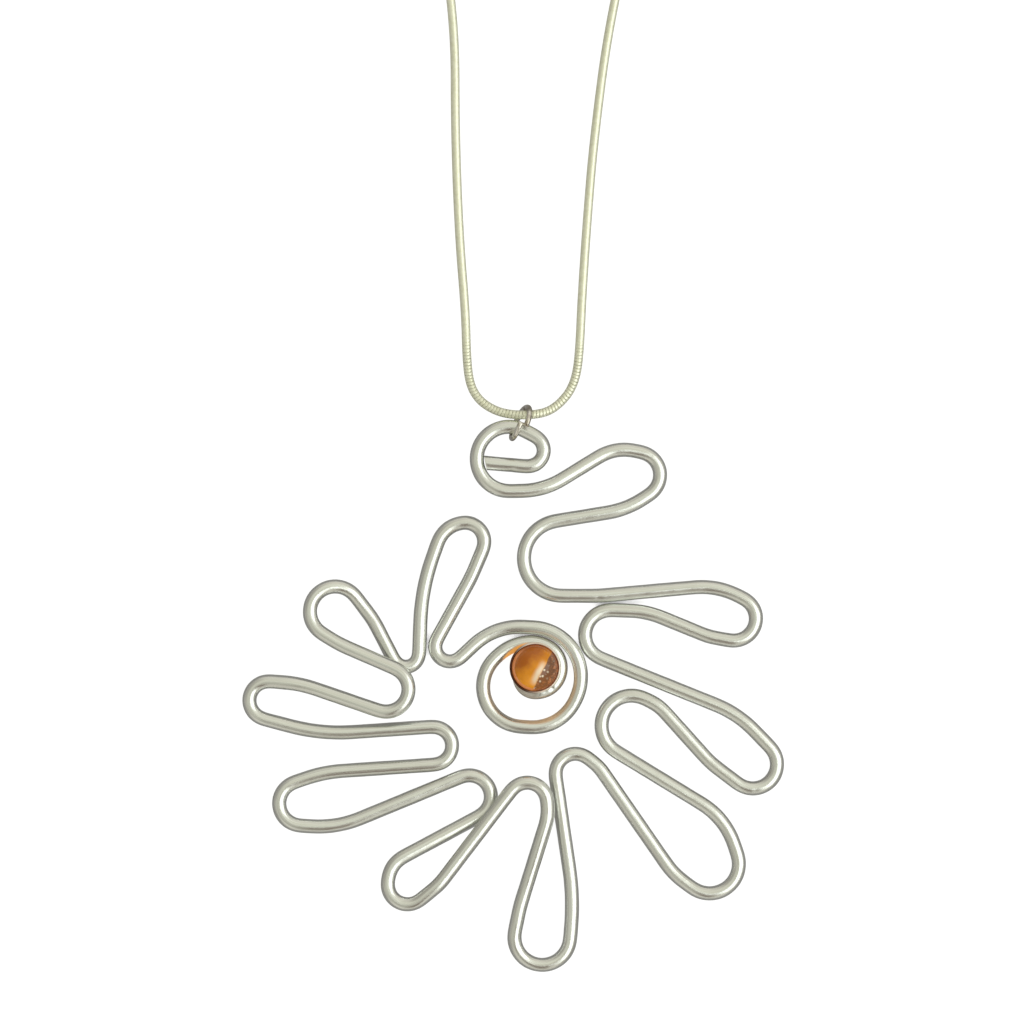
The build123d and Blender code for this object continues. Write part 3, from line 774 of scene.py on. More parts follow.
@dataclass
class FlowerWire:
    """The flower: one length of wire bent round pegs, from the curl's cut end to the spiral's."""
    diameter: float = 2.0
    pass_gap: float = 0.1          # air between two passes of the wire that cross
    cut_gap: float = 0.04          # between the curl's cut end and the inside of its loop
    curl_heading: float = -5.0     # degrees from +X in which the wire sets out from its cut end
    spiral_heading: float = 112.0  # and in which it ends
    tail_length: float = 3.6       # the thin tail along the cup's foot with which it ends
    tail_width: float = 0.14       # share of the tail's outer half that is left at its end
    step: float = 0.24             # from one ring of vertices to the next
    soften: float = 0.5            # how far the bends blend into the straight runs
    sides: int = 28
    waver: float = 0.012           # share by which the wire's radius wanders
    wave_lengths: tuple[float, ...] = (3.1, 7.3, 17.0)
    end_round: float = 0.05        # radius of the worn edge at each cut end
    end_rings: int = 5             # rings of vertices on that edge
    pad_length: float = 4.6        # the dull pad hammered flat at the spiral's end
    pad_rise: float = 0.8          # millimetres of wire over which the flat begins
    pad_depth: float = 0.32
    curl_slant: float = 0.60       # how far the cutters' slanted cut reaches back along the curl's end
    slant_fade: float = 1.8        # millimetres of wire over which the slant dies away

    def centre(self, bend: Bend) -> np.ndarray:
        """A bend's centre on the table."""
        return np.array([bend.x, bend.y]) * REACH

    def radius(self, bend: Bend) -> float:
        """Radius of the wire's centre line in a bend."""
        return bend.reach * REACH - self.diameter / 2

    def on_bend(self, bend: Bend, heading: float) -> np.ndarray:
        """The point of a bend's circle where the wire has this heading."""
        leftward = np.array([-sin(heading), cos(heading)])
        return self.centre(bend) - leftward * bend.turn.value * self.radius(bend)

    def run_heading(self, bend: Bend, following: Bend) -> float:
        """Heading of the straight run between two bends, tangent to both."""
        across = self.centre(following) - self.centre(bend)
        offset = following.turn.value * self.radius(following) - bend.turn.value * self.radius(bend)
        return atan2(across[1], across[0]) - asin(offset / float(np.hypot(*across)))

    def cut_end(self) -> np.ndarray:
        """Where the wire starts, just clear of the inside of the curl's loop."""
        heading = radians(self.curl_heading)
        forward = np.array([cos(heading), sin(heading)])
        leftward = np.array([-sin(heading), cos(heading)])
        entry = self.on_bend(BENDS[0], heading)
        to_loop = self.centre(BENDS[1]) - entry
        inside = self.radius(BENDS[1]) - self.diameter / 2 - self.cut_gap
        half = abs(float(to_loop @ leftward)) + self.diameter / 2
        return entry + forward * (float(to_loop @ forward) - (inside**2 - half**2) ** 0.5)

    def plan(self) -> tuple[np.ndarray, np.ndarray]:
        """Walk through the bends.

        Returns:
            The wire's points seen from above, and the length of wire at the middle of each bend.
        """
        headings = [radians(self.curl_heading)]
        headings += [self.run_heading(bend, following) for bend, following in zip(BENDS, BENDS[1:])]
        headings += [radians(self.spiral_heading)]
        points = [self.cut_end()]
        middles = []
        length = 0.0
        for bend, heading, leaving in zip(BENDS, headings, headings[1:]):
            length += float(np.hypot(*(self.on_bend(bend, heading) - points[-1])))
            turned = ((leaving - heading) * bend.turn.value) % (2 * pi)
            steps = max(2, ceil(turned * self.radius(bend) / self.step))
            points += [self.on_bend(bend, heading + bend.turn.value * turned * step / steps)
                       for step in range(steps + 1)]
            middles.append(length + turned * self.radius(bend) / 2)
            length += turned * self.radius(bend)
        return np.array(points), np.array(middles)

    def line(self) -> np.ndarray:
        """The wire's centre line in space.

        Returns:
            Points at even steps, softened as a hand-bent wire is between its pegs.
        """
        plan, middles = self.plan()
        flat = np.column_stack([plan, np.zeros(len(plan))])
        along = lengths_along(flat)
        places = np.linspace(0.0, along[-1], ceil(along[-1] / self.step) + 1)
        points = resampled(flat, places)
        lifts = np.array([bend.lift for bend in BENDS]) * (self.diameter + self.pass_gap)
        span = np.clip(np.searchsorted(middles, places) - 1, 0, len(middles) - 2)
        share = np.clip((places - middles[span]) / (middles[span + 1] - middles[span]), 0.0, 1.0)
        points[:, 2] = self.diameter / 2 + lifts[span] + (lifts[span + 1] - lifts[span]) * eased(share)
        return self.softened(points, places[1])

    def softened(self, points: np.ndarray, step: float) -> np.ndarray:
        """Blur a line a little along its length, with its ends kept.

        Args:
            points: Points at even steps.
            step: The step in millimetres.

        Returns:
            The softened points.
        """
        reach = ceil(3 * self.soften / step)
        weights = np.exp(-0.5 * (np.arange(-reach, reach + 1) * step / self.soften) ** 2)
        before = 2 * points[0] - points[reach:0:-1]
        after = 2 * points[-1] - points[-2:-reach - 2:-1]
        padded = np.vstack([before, points, after])
        weights /= weights.sum()
        return np.column_stack([np.convolve(column, weights, mode="valid") for column in padded.T])

    def build(self, finish: Material) -> Object:
        """Sweep the wire's section along its line and cut its ends.

        Args:
            finish: The wire's material.

        Returns:
            The wire as one closed mesh.
        """
        line = self.line()
        length = float(lengths_along(line)[-1])
        places, inset = self.places(length)
        line = resampled(line, places)
        _, right, upward = frames_along(line)
        turns = round_turns(self.sides) - pi / 2
        radius = (self.diameter / 2 - inset)[:, None] * (1 + self.wander(places)[:, None])
        radius = radius - self.marks(line, turns)
        across = self.tail(radius * np.cos(turns), places, length)
        height = self.pad(radius * np.sin(turns), places, length)
        points = swept(line, right, upward, across, height)
        points += np.cross(upward, right)[:, None] * self.slant(places, across)[:, :, None]
        faces, corners = rod_faces(len(places), self.sides)
        ring, side = corners[:, :, 0], corners[:, :, 1]
        lay = np.stack([side / self.sides - 0.25, places[ring]], axis=2).reshape(-1, 2)
        ends = np.zeros((2 * self.sides, 2))
        return new_piece("bent_wire", points.reshape(-1, 3), faces, finish, "flower_wire",
                         np.vstack([lay, ends]))

    def places(self, length: float) -> tuple[np.ndarray, np.ndarray]:
        """Where the rings of vertices stand along the wire.

        Args:
            length: The wire's length in millimetres.

        Returns:
            The lengths along the wire, and how much narrower the rings are at the worn ends.
        """
        quarter = np.linspace(0.0, pi / 2, self.end_rings)
        start = self.end_round * (1 - np.cos(quarter))
        narrower = self.end_round * (1 - np.sin(quarter))
        middle = np.linspace(self.end_round, length - self.end_round, ceil(length / self.step))[1:-1]
        return (np.concatenate([start, middle, length - start[::-1]]),
                np.concatenate([narrower, np.zeros(len(middle)), narrower[::-1]]))

    def wander(self, places: np.ndarray) -> np.ndarray:
        """A slow unevenness of the radius, as a share of it, at these lengths along the wire."""
        random = np.random.default_rng(SEED)
        waves = [np.sin(places / length * 2 * pi + random.uniform(0, 2 * pi)) for length in self.wave_lengths]
        return self.waver * sum(waves) / len(waves) - self.waver

    def marks(self, line: np.ndarray, turns: np.ndarray) -> np.ndarray:
        """Depth of the tool marks on the wire.

        Args:
            line: The centre line at each ring.
            turns: The angles of the ring's vertices from the wire's right side over its top.

        Returns:
            Depths in millimetres, a row for each ring.
        """
        along = lengths_along(line)
        depth = np.zeros((len(line), len(turns)))
        for mark in MARKS:
            near = along - along[int(np.argmin(np.hypot(line[:, 0] - mark.x, line[:, 1] - mark.y)))]
            turned = (turns - radians(mark.round_wire) + pi) % (2 * pi) - pi
            bite = np.exp(-(near / mark.length) ** 2)[:, None] * np.exp(-(turned / radians(mark.width)) ** 2)
            depth += mark.depth * bite
        return depth

    def pad(self, height: np.ndarray, places: np.ndarray, length: float) -> np.ndarray:
        """The vertices' heights, with the wire's top pressed flat along its last stretch."""
        share = np.clip((places - length + self.pad_length) / self.pad_rise, 0.0, 1.0)
        return np.minimum(height, (self.diameter / 2 - self.pad_depth * eased(share))[:, None])

    def tail(self, across: np.ndarray, places: np.ndarray, length: float) -> np.ndarray:
        """The vertices' distances to the right, with the left side filed thin along the spiral's end."""
        share = np.clip((length - places) / self.tail_length, 0.0, 1.0)
        left = self.tail_width + (1 - self.tail_width) * np.sin(share * pi / 2)
        return np.where(across < 0, across * left[:, None], across)

    def slant(self, places: np.ndarray, across: np.ndarray) -> np.ndarray:
        """How far forward each vertex moves so that the curl's cut end follows the inside of its loop."""
        fade = np.clip(1 - places / self.slant_fade, 0.0, 1.0)
        return fade[:, None] * self.curl_slant * (across / self.diameter - 0.5)


@dataclass
class JumpRing:
    """Split wire ring that stands on the table through the curl and round the chain."""
    bore: float = 4.06
    wire: float = 0.78
    right: float = -0.0502         # shares of the flower's reach from the stone to the ring's foot
    up: float = 0.8124
    twist: float = 22.0            # degrees by which its plane turns from straight up in the picture
    lean: float = 13.0             # degrees by which it leans over
    overlap: float = 4.0           # degrees by which its two ends pass each other
    spring: float = 5.0            # degrees by which each half is sprung aside
    pinch: float = 0.35            # share of the wire's thickness left at the very ends by the cutters
    pinch_length: float = 0.7
    rings: int = 150
    sides: int = 24

    def foot(self) -> np.ndarray:
        """The point of the table under the ring's centre."""
        return np.array([self.right, self.up, 0.0]) * REACH

    def frame(self) -> tuple[np.ndarray, np.ndarray, np.ndarray]:
        """The ring's own directions: along the table in its plane, up in its plane, and across it."""
        along = np.array(direction(90 - self.twist))
        flat = np.array(direction(-self.twist))
        lean = radians(self.lean)
        return along, flat * sin(lean) + [0.0, 0.0, cos(lean)], flat * cos(lean) - [0.0, 0.0, sin(lean)]

    def line(self) -> np.ndarray:
        """The ring's centre line, from one cut end round the foot to the other."""
        along, upward, across = self.frame()
        radius = (self.bore + self.wire) / 2
        foot = self.foot() + [0, 0, radius * cos(radians(self.lean)) + self.wire / 2] - upward * radius
        end = pi + radians(self.overlap)
        angles = np.linspace(-end, end, self.rings)
        side = np.where(angles < 0, 1.0, -1.0)[:, None]
        turn = np.abs(angles)[:, None]
        rise = upward * cos(radians(self.spring)) + across * side * sin(radians(self.spring))
        return foot + rise * radius * (1 - np.cos(turn)) + along * side * radius * np.sin(turn)

    def build(self, finish: Material) -> Object:
        """Sweep the ring's wire, pinched to a wedge at both cut ends.

        Args:
            finish: The ring's material.

        Returns:
            The ring as one closed mesh.
        """
        line = self.line()
        forward = unit(np.gradient(line, axis=0))
        outward = unit(np.cross(forward, self.frame()[2]))
        along = lengths_along(line)
        share = np.clip(np.minimum(along, along[-1] - along) / self.pinch_length, 0.0, 1.0)
        thick = self.pinch + (1 - self.pinch) * np.sin(share * pi / 2)
        turns = round_turns(self.sides)
        radius = self.wire / 2
        points = swept(line, outward, np.cross(outward, forward), radius * np.cos(turns) * thick[:, None],
                       radius * np.sin(turns)[None, :])
        faces, _ = rod_faces(len(line), self.sides)
        return new_piece("open_jump_ring", points.reshape(-1, 3), faces, finish, "jump_ring")


class BandRow(NamedTuple):
    """One ring of vertices of a band of the chain."""
    place: float           # share of the band's length from its middle
    drop: float            # share of the shoulder by which it is narrower
    inside: float          # share of the wall by which it lies deeper


BAND = (
    BandRow(-0.5, 1.0, 0.0),
    BandRow(-0.28, 0.0, 0.0),
    BandRow(0.28, 0.0, 0.0),
    BandRow(0.5, 1.0, 0.0),
    BandRow(0.0, 0.0, 1.0),
)


@dataclass
class SnakeChain:
    """Snake chain: stamped bands in a row, each bent like a saddle so that it locks into the next."""
    diameter: float = 1.24
    pitch: float = 0.47
    band: float = 0.469            # length of one band along the chain
    saddle: float = 0.07           # how far a band's edge swings to and fro round the chain
    shoulder: float = 0.018        # how much narrower a band is at its two edges
    wall: float = 0.20             # thickness of a band
    groove: float = 0.025          # depth of the grooves between the bands
    sides: int = 18
    twist_length: float = 95.0     # millimetres of chain for one turn of its lay
    twist_start: float = 40.0      # degrees
    worn_near: float = 7.0         # millimetres from the ring within which the bands stand out fully
    worn_far: float = 17.0         # and from where on they are nearly smooth
    worn_left: float = 0.22        # share of their relief that is left there
    worn_full: float = 0.32        # share of their relief at which the grooves are worn flush
    fine_step: float = 0.1         # along the line on which the bands are laid
    cap_run: float = 6.0           # millimetres of chain that leave each cap straight

    def line(self, fittings: "Fittings") -> np.ndarray:
        """Read the chain's centre line from a spline with the route's points.

        Args:
            fittings: What closes the chain, for the places of its ends.

        Returns:
            Dense points from the left cap to the right one.
        """
        left, right = fittings.cap_bores()
        run = np.array([self.cap_run, 0.0, 0.0])
        controls = [left, left - run, *CHAIN_ROUTE, right + run, right]
        curve = bpy.data.curves.new("chain_route", "CURVE")
        curve.dimensions = "3D"
        spline = curve.splines.new("NURBS")
        spline.points.add(len(controls) - 1)
        for point, place in zip(spline.points, controls):
            point.co = (*place, 1.0)
        spline.order_u = 3
        spline.use_endpoint_u = True
        spline.resolution_u = 24
        holder = bpy.data.objects.new("chain_route", curve)
        mesh = bpy.data.meshes.new_from_object(holder)
        points = np.array([vertex.co[:] for vertex in mesh.vertices])
        bpy.data.objects.remove(holder)
        bpy.data.curves.remove(curve)
        bpy.data.meshes.remove(mesh)
        return points

    def build(self, foot: np.ndarray, fittings: "Fittings", finish: Material) -> Object:
        """Lay the bands along the route, round a core that fills the grooves where they are worn.

        Args:
            foot: The table under the jump ring.
            fittings: What closes the chain.
            finish: The chain's material.

        Returns:
            All the bands and the core as one mesh.
        """
        line = self.line(fittings)
        length = lengths_along(line)[-1]
        count = int(length / self.pitch)
        starts = (np.arange(count) + 0.5) * length / count
        turns = round_turns(self.sides)
        profile = np.array(BAND)
        lay = 2 * (turns[None, :] - radians(self.twist_start) - starts[:, None] / self.twist_length * 2 * pi)
        forward_by = profile[None, :, None, 0] * self.band + (self.saddle * np.cos(lay))[:, None, :]
        places = np.clip(starts[:, None, None] + forward_by, 0, length)
        fine = resampled(line, np.linspace(0, length, ceil(length / self.fine_step)))
        along = np.linspace(0, length, len(fine))
        tables = (fine, *frames_along(fine)[1:])
        centre, right, upward = [between_rows(places, along, table) for table in tables]
        drop = profile[None, :, 1] * self.shoulder * self.relief(resampled(line, starts))[:, None]
        radius = (self.diameter / 2 - drop - profile[None, :, 2] * self.wall)[:, :, None, None]
        bands = centre + radius * (right * np.cos(turns)[:, None] + upward * np.sin(turns)[:, None])
        this = np.arange(count * len(BAND))
        that = this // len(BAND) * len(BAND) + (this + 1) % len(BAND)
        faces = numbered(ring_corners(this, that, self.sides), self.sides)
        rings, rod = self.core(line, len(this) * self.sides)
        points = np.vstack([bands.reshape(-1, 3), rings])
        piece = new_piece("snake_chain_bands", points + foot, faces + rod, finish, "snake_chain")
        rounded = np.ones(len(faces) + len(rod), dtype=bool)
        # The faces between the first four rows are a band's outside; those of its two walls stay flat.
        rounded[:len(faces)] = np.repeat(this % len(BAND) < len(BAND) - 2, self.sides)
        piece.data.polygons.foreach_set("use_smooth", rounded)
        return piece

    def core(self, line: np.ndarray, first: int) -> tuple[np.ndarray, list[list[int]]]:
        """The rod under the bands.

        Args:
            line: The chain's centre line.
            first: The number of its first vertex.

        Returns:
            Its vertices and its faces.
        """
        length = lengths_along(line)[-1]
        core = resampled(line, np.linspace(0, length, ceil(length / self.band)))
        _, right, upward = frames_along(core)
        filled = (self.relief(core) - self.worn_full) / (1 - self.worn_full)
        radius = (self.diameter / 2 - self.groove * filled)[:, None]
        turns = round_turns(self.sides)
        rings = swept(core, right, upward, radius * np.cos(turns), radius * np.sin(turns))
        faces, _ = rod_faces(len(core), self.sides)
        return rings.reshape(-1, 3), [[first + number for number in face] for face in faces]

    def relief(self, places: np.ndarray) -> np.ndarray:
        """Share of the bands' relief that wear has left at points of the chain."""
        away = np.hypot(places[:, 0], places[:, 1])
        share = np.clip((away - self.worn_near) / (self.worn_far - self.worn_near), 0.0, 1.0)
        return 1 - (1 - self.worn_left) * share


@dataclass
class Setting:
    """The amber cabochon and the thin cup that holds it."""
    stone: float = 6.4
    stone_spread: float = 0.03     # how much nearer the cup the ground stone comes than the cut one
    stone_edge: float = 0.7        # height of the upright edge under the dome
    stone_rise: float = 2.3        # height of the dome
    girdle: float = 0.12           # radius of the stone's lower edge
    cup_wall: float = 0.3
    cup_base: float = 0.3
    cup_depth: float = 0.9
    cup_corner: float = 0.12       # radius of the cup's lower edge
    cup_fillet: float = 0.05       # where its wall meets its floor inside
    cup_waver: float = 0.02        # how far the hand-pressed rim's height wanders
    gap: float = 0.06
    seat: float = 2.06             # height of the cup's underside over the table
    sides: int = 96

    def lathe(self, name: str, outline: Sequence[tuple[float, float]], finish: Material,
              replaced: str, waver: float = 0.0) -> Object:
        """Turn an outline round the upright axis through the stone into a closed piece.

        Args:
            name: The piece's name.
            outline: Radius and height of each row, from the bottom's middle to the top's, in millimetres.
            finish: The piece's material.
            replaced: The CAD node it stands for.
            waver: How far the rim's height wanders.

        Returns:
            The piece.
        """
        turns = round_turns(self.sides)
        rows = np.array(outline[1:-1])
        share = (rows[:, 1] / rows[:, 1].max())[:, None] ** 8
        lift = waver * share * (np.sin(3 * turns + 1.0) + 0.6 * np.sin(7 * turns))
        across, along = rows[:, :1] * np.cos(turns), rows[:, :1] * np.sin(turns)
        ring = np.stack([across, along, rows[:, 1:] + lift], axis=-1)
        points = np.vstack([ring.reshape(-1, 3), [[0, 0, outline[0][1]], [0, 0, outline[-1][1]]]])
        this = np.arange(len(rows) - 1)
        faces = numbered(np.roll(ring_corners(this + 1, this, self.sides), -1, axis=1), self.sides)
        low, high = len(points) - 2, len(points) - 1
        last = (len(rows) - 1) * self.sides
        for side in range(self.sides):
            after = (side + 1) % self.sides
            faces += [[low, after, side], [high, last + side, last + after]]
        return new_piece(name, points, faces, finish, replaced)

    def build_cup(self, finish: Material) -> Object:
        """The thin cup, its rim rubbed a little toward the stone.

        Args:
            finish: The cup's material.

        Returns:
            The cup.
        """
        bore = self.stone / 2 + self.gap
        out = bore + self.cup_wall
        floor = self.seat + self.cup_base
        half = self.cup_wall / 2
        middle = floor + self.cup_depth - half
        corner = [(out - self.cup_corner * (1 - sin(angle)), self.seat + self.cup_corner * (1 - cos(angle)))
                  for angle in np.linspace(0, pi / 2, 4)]
        edge = [(bore + half + half * cos(angle), middle + half * sin(angle))
                for angle in np.linspace(0, pi, 9)]
        inside = [(bore, floor + self.cup_fillet), (bore - self.cup_fillet, floor), (bore * 0.5, floor)]
        outline = [(0.0, self.seat), (bore * 0.5, self.seat), *corner, *edge, *inside, (0.0, floor)]
        return self.lathe("pressed_cup", outline, finish, "bezel_cup", self.cup_waver)

    def build_stone(self, finish: Material) -> Object:
        """The domed stone with a rounded girdle and a flat back.

        Args:
            finish: The stone's material.

        Returns:
            The stone.
        """
        radius = self.stone / 2 + self.stone_spread
        ball = (radius**2 + self.stone_rise**2) / (2 * self.stone_rise)
        low = self.seat + self.cup_base + self.gap
        middle = low + self.stone_edge + self.stone_rise - ball
        dome = [(ball * sin(angle), middle + ball * cos(angle))
                for angle in np.linspace(asin(radius / ball), 0.0, 30)[:-1]]
        outline = [(0.0, low), (radius * 0.5, low), (radius - self.girdle, low),
                   (radius - self.girdle / 3, low + self.girdle / 3), (radius, low + self.girdle),
                   (radius, low + self.stone_edge * 0.6), *dome, (0.0, middle + ball)]
        return self.lathe("amber_cabochon", outline, finish, "cabochon")


@dataclass
class Fittings:
    """What closes the chain: two end caps, a lobster clasp and the ring it holds."""
    far_side: float = 188.9        # millimetres from the jump ring's foot to the clasp's line
    clasp_ring_bore: float = 3.0
    loop_wire: float = 0.6
    loop_bore: float = 1.8
    clasp_length: float = 9.0
    clasp_narrow: float = 1.5
    clasp_eye: float = 1.6
    clasp_mouth: float = 3.6
    clasp_thick: float = 1.2
    link_gap: float = 0.12
    cap_neck: float = 0.5
    cap_length: float = 4.0
    cap_bore_depth: float = 2.6
    nodes: tuple[str, ...] = ("end_cap_left", "end_cap_right", "clasp", "clasp_ring")

    def cap_bores(self) -> tuple[np.ndarray, np.ndarray]:
        """Where the chain ends inside the two caps.

        Returns:
            The left end and the right end, from the table under the jump ring.
        """
        half = self.clasp_thick / 2 + self.link_gap
        eye = self.clasp_eye / 2 + (self.clasp_narrow - self.clasp_eye / 2) / 2
        ring = eye + self.clasp_length + self.clasp_mouth / 2
        ring += ((self.clasp_ring_bore / 2)**2 - half**2) ** 0.5
        loops = ring + self.clasp_ring_bore / 2 - self.link_gap + self.loop_bore / 2
        reach = loops / 2 + (self.loop_bore / 2 + self.loop_wire / 2 + self.cap_neck + self.cap_length
                             - self.cap_bore_depth + self.link_gap)
        height = self.clasp_ring_bore / 2 + self.loop_wire
        return np.array([-reach, self.far_side, height]), np.array([reach, self.far_side, height])

    def dress(self, finish: Material) -> None:
        """Give the CAD's own plain fittings their finish.

        Args:
            finish: The fittings' material.
        """
        for node in self.nodes:
            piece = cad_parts[node]
            piece.data.materials.clear()
            piece.data.materials.append(finish)
            log.info("%s: CAD piece in %s", node, finish.name)


# The table, the light and the camera

class Lobe(NamedTuple):
    """A soft bright or dark part of the room as the table sees it."""
    name: str
    azimuth: float         # degrees from +X toward +Y
    polar: float           # degrees from straight up
    reach: float           # degrees from its middle to where it has faded
    gain: float            # change of the room's brightness in its middle


LOBES = (
    Lobe("pale wall, upper right", 58.0, 70.0, 46.0, 0.30),
    Lobe("overhead glow", 105.0, 30.0, 48.0, 0.14),
    Lobe("dark doorway, upper left", 152.0, 62.0, 38.0, -0.34),
    Lobe("dark corner, left", 212.0, 84.0, 36.0, -0.26),
    Lobe("dim ceiling, lower left", 235.0, 22.0, 40.0, -0.20),
    Lobe("pale patch, lower left", 240.0, 68.0, 30.0, 0.44),
    Lobe("dim wall, foot", 270.0, 52.0, 24.0, -0.26),
    Lobe("pale patch, lower right", 299.0, 60.0, 34.0, 0.36),
    Lobe("pale skirting, top", 90.0, 92.0, 44.0, 0.24),
    Lobe("pale skirting, foot", 275.0, 88.0, 34.0, 0.20),
    Lobe("dark skirting, right", 322.0, 92.0, 46.0, -0.34),
)


@dataclass(frozen=True)
class Studio:
    """A pale table under a broad soft light from the right, seen from straight above."""
    box_polar: float = 41.0        # degrees from straight up
    box_azimuth: float = -15.0     # degrees from +X toward +Y
    box_roll: float = -23.0        # degrees by which its upper right end hangs lower
    box_distance: float = 1.0      # metres
    box_wide: float = 1.22
    box_tall: float = 0.84
    box_power: float = 3.7
    box_colour: tuple[float, float, float] = (0.95, 1.0, 1.0)
    card: str = "#6C5A4F"
    card_polar: float = 41.0
    card_distance: float = 0.9
    card_width: float = 0.2
    card_length: float = 0.72
    table: float = 6.0             # metres
    paper_height: float = -0.02    # millimetres
    mirror_height: float = -0.1
    paper_glow: float = 0.92
    paper: tuple[float, float, float, float] = (0.28, 0.28, 0.28, 1.0)
    crevice: float = 1.5           # millimetres of paper beside a wire that narrow gaps leave unlit
    crevice_dark: float = 0.10     # share of open sky at which the paper is dark
    crevice_lit: float = 0.23      # and at which it is fully lit
    grey: str = "#CECCCB"
    tint: str = "#DDB894"
    tint_reach: float = 7.5        # millimetres from the stone's middle
    bounce: float = 0.17           # light that the paper gives back even in the wire's own shadow
    walls: tuple[tuple[float, str], ...] = (    # the room's colour from level to straight up
        (0.0, "#B4B0A9"), (0.5, "#BCB9AF"), (0.82, "#CAC9BC"), (1.0, "#D2D1C3"))
    dim_side: float = 0.98         # the room's strength toward -Y
    bright_side: float = 1.12      # and toward +Y
    camera_height: float = 0.6
    sensor: float = 36.0

    def floor(self) -> None:
        """A white paper table for the camera, and a grey one just under it that only reflections see."""
        white, tree = new_material("white paper table")
        # Painted shade: the paper's glow is dimmed by ambient occlusion where narrow gaps beside the wires
        # leave it unlit.
        sky = add_node(tree, "AmbientOcclusion", {"samples": 8, "Distance": self.crevice * MM}).outputs["AO"]
        lit = add_node(tree, "Math", {"operation": "MULTIPLY", 1: self.paper_glow},
                       {0: smooth(tree, sky, self.crevice_dark, self.crevice_lit)})
        glow = add_node(tree, "Emission", {}, {"Strength": lit})
        paper = add_node(tree, "BsdfDiffuse", {"Color": self.paper})
        both = add_node(tree, "AddShader", {}, {0: glow, 1: paper})
        add_node(tree, "OutputMaterial", {}, {0: both})
        seen = self.plane("paper_table", self.table, self.paper_height, white)
        hide(seen, "glossy", "shadow")
        grey, tree = new_material("grey table in reflections, tinted by the light through the amber")
        away = add_node(tree, "VectorMath", {"operation": "LENGTH"}, {0: from_stone(tree)}).outputs["Value"]
        share = add_node(tree, "MapRange", {1: 0.0, 2: self.tint_reach}, {0: away})
        tint = add_node(tree, "ValToRGB", {"stops": ((0.35, self.tint), (0.8, self.grey))}, {0: share})
        dull = add_node(tree, "BsdfDiffuse", {}, {"Color": tint})
        bounced = add_node(tree, "Emission", {"Strength": self.bounce}, {"Color": tint})
        both = add_node(tree, "AddShader", {}, {0: dull, 1: bounced})
        add_node(tree, "OutputMaterial", {}, {0: both})
        mirrored = self.plane("grey_table", self.table, self.mirror_height, grey)
        hide(mirrored, "camera", "diffuse", "transmission")

    def plane(self, name: str, size: float, height: float, finish: Material) -> Object:
        """A square plane that lies flat.

        Args:
            name: Its name.
            size: Its side in metres.
            height: Its height in millimetres.
            finish: Its material.

        Returns:
            The plane.
        """
        half = size / 2
        mesh = bpy.data.meshes.new(name)
        corners = [(-half, -half, 0), (half, -half, 0), (half, half, 0), (-half, half, 0)]
        mesh.from_pydata(corners, [], [(0, 1, 2, 3)])
        mesh.materials.append(finish)
        plane = bpy.data.objects.new(name, mesh)
        plane.location.z = height * MM
        bpy.context.scene.collection.objects.link(plane)
        return plane

    def lights(self) -> None:
        """The soft light, and a narrow dark card toward the viewer that only reflections see."""
        toward_box = Vector(direction(self.box_azimuth, self.box_polar))
        light = bpy.data.lights.new("soft_light", "AREA")
        light.shape = "RECTANGLE"
        light.size, light.size_y = self.box_wide, self.box_tall
        light.energy, light.color = self.box_power, self.box_colour
        lamp = bpy.data.objects.new("soft_light", light)
        lamp.location = toward_box * self.box_distance
        turned = toward_box.to_track_quat("Z", "Y") @ Quaternion((0.0, 0.0, 1.0), radians(self.box_roll))
        lamp.rotation_euler = turned.to_euler()
        hide(lamp, "camera")
        bpy.context.scene.collection.objects.link(lamp)
        brown, tree = new_material("brown card")
        dull = add_node(tree, "Emission", {"Color": linear(self.card), "Strength": 1.0})
        add_node(tree, "OutputMaterial", {}, {0: dull})
        card = self.plane("brown_card", 1.0, 0.0, brown)
        card.location = Vector(direction(-90.0, self.card_polar)) * self.card_distance
        card.scale = (self.card_width, self.card_length, 1.0)
        card.rotation_euler = (radians(self.card_polar), 0.0, 0.0)
        hide(card, "camera", "diffuse", "transmission", "shadow")

    def surroundings(self) -> None:
        """The room's own light: pale and warm overhead, greyer toward the walls, with soft bright and dark
        parts that give the wire its broken stripes."""
        world = bpy.data.worlds.new("pale room")
        bpy.context.scene.world = world
        world.use_nodes = True
        tree = world.node_tree
        tree.nodes.clear()
        place = add_node(tree, "TexCoord").outputs["Generated"]
        split = add_node(tree, "SeparateXYZ", {}, {0: place})
        colour = add_node(tree, "ValToRGB", {"stops": self.walls}, {0: split.outputs[2]})
        strength = add_node(tree, "MapRange", {1: -1.0, 2: 1.0, 3: self.dim_side, 4: self.bright_side},
                            {0: split.outputs[1]})
        for lobe in LOBES:
            near = toward(tree, place, direction(lobe.azimuth, lobe.polar))
            strength = joined(tree, "ADD", strength,
                              smooth(tree, near, cos(radians(lobe.reach)), 1.0, lobe.gain))
        sky = add_node(tree, "Background", {}, {"Color": colour, "Strength": strength})
        add_node(tree, "OutputWorld", {}, {0: sky})

    def camera(self) -> None:
        """Look straight down so that the stone lands on its place in the photograph."""
        middle = PHOTO_PIXELS / 2
        data = bpy.data.cameras.new("above")
        data.sensor_width = self.sensor
        data.lens = self.sensor * self.camera_height / (PHOTO_PIXELS * PIXEL * MM)
        data.dof.use_dof = False
        camera = bpy.data.objects.new("above", data)
        camera.location = ((ORIGIN[0] + (middle - STONE_PIXEL[0]) * PIXEL) * MM,
                           (ORIGIN[1] - (middle - STONE_PIXEL[1]) * PIXEL) * MM, self.camera_height)
        bpy.context.scene.collection.objects.link(camera)
        bpy.context.scene.camera = camera
        bpy.context.scene.view_settings.view_transform = "Standard"


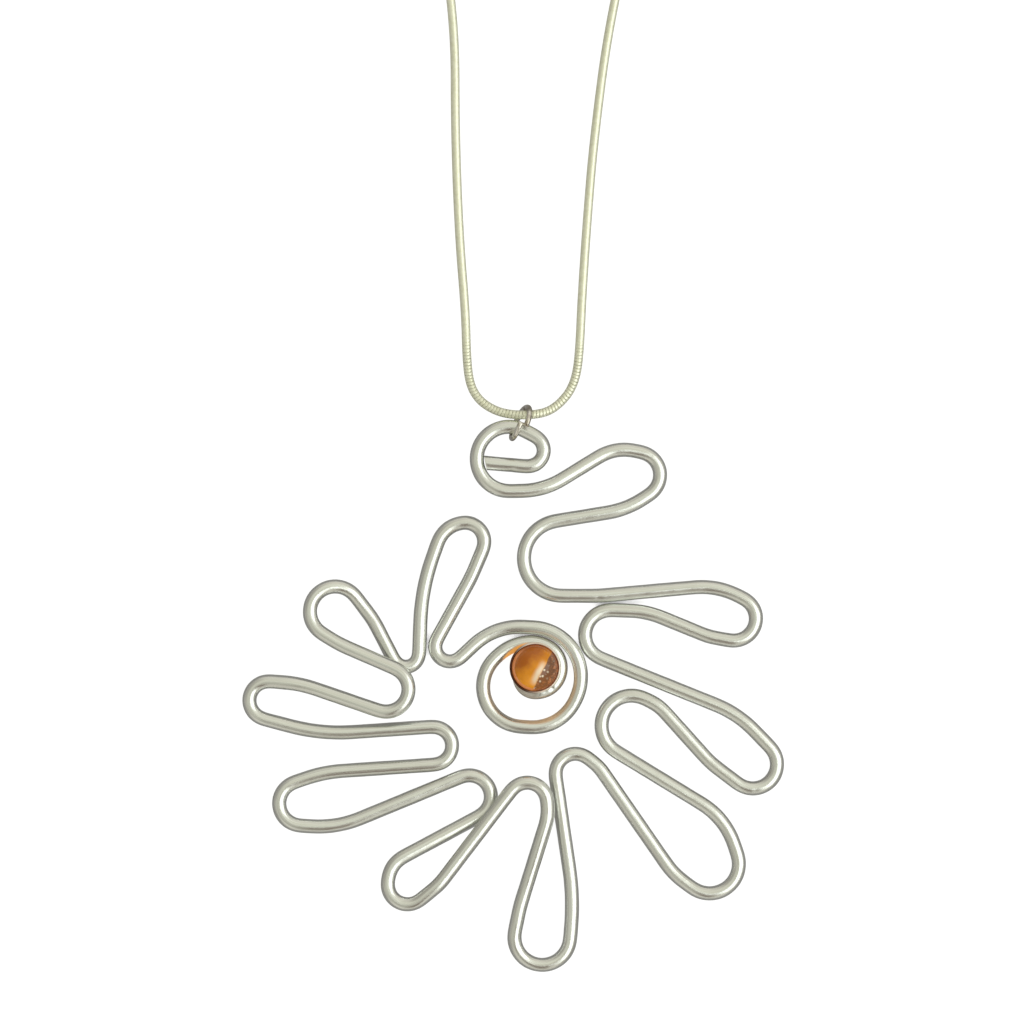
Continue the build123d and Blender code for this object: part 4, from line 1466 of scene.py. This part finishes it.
def main() -> None:
    """Build the necklace piece by piece on its table."""
    logging.basicConfig(level=logging.INFO, format="%(name)s: %(message)s")
    FlowerWire().build(WIRE_FINISH.make())
    ring = JumpRing()
    ring.build(RING_FINISH.make())
    fittings = Fittings()
    SnakeChain().build(ring.foot(), fittings, CHAIN_FINISH.make())
    fittings.dress(FITTING_FINISH.make())
    setting = Setting()
    setting.build_cup(BezelStrip().make())
    setting.build_stone(Amber().make())
    studio = Studio()
    studio.floor()
    studio.lights()
    studio.surroundings()
    studio.camera()


if __name__ == "__main__":
    main()
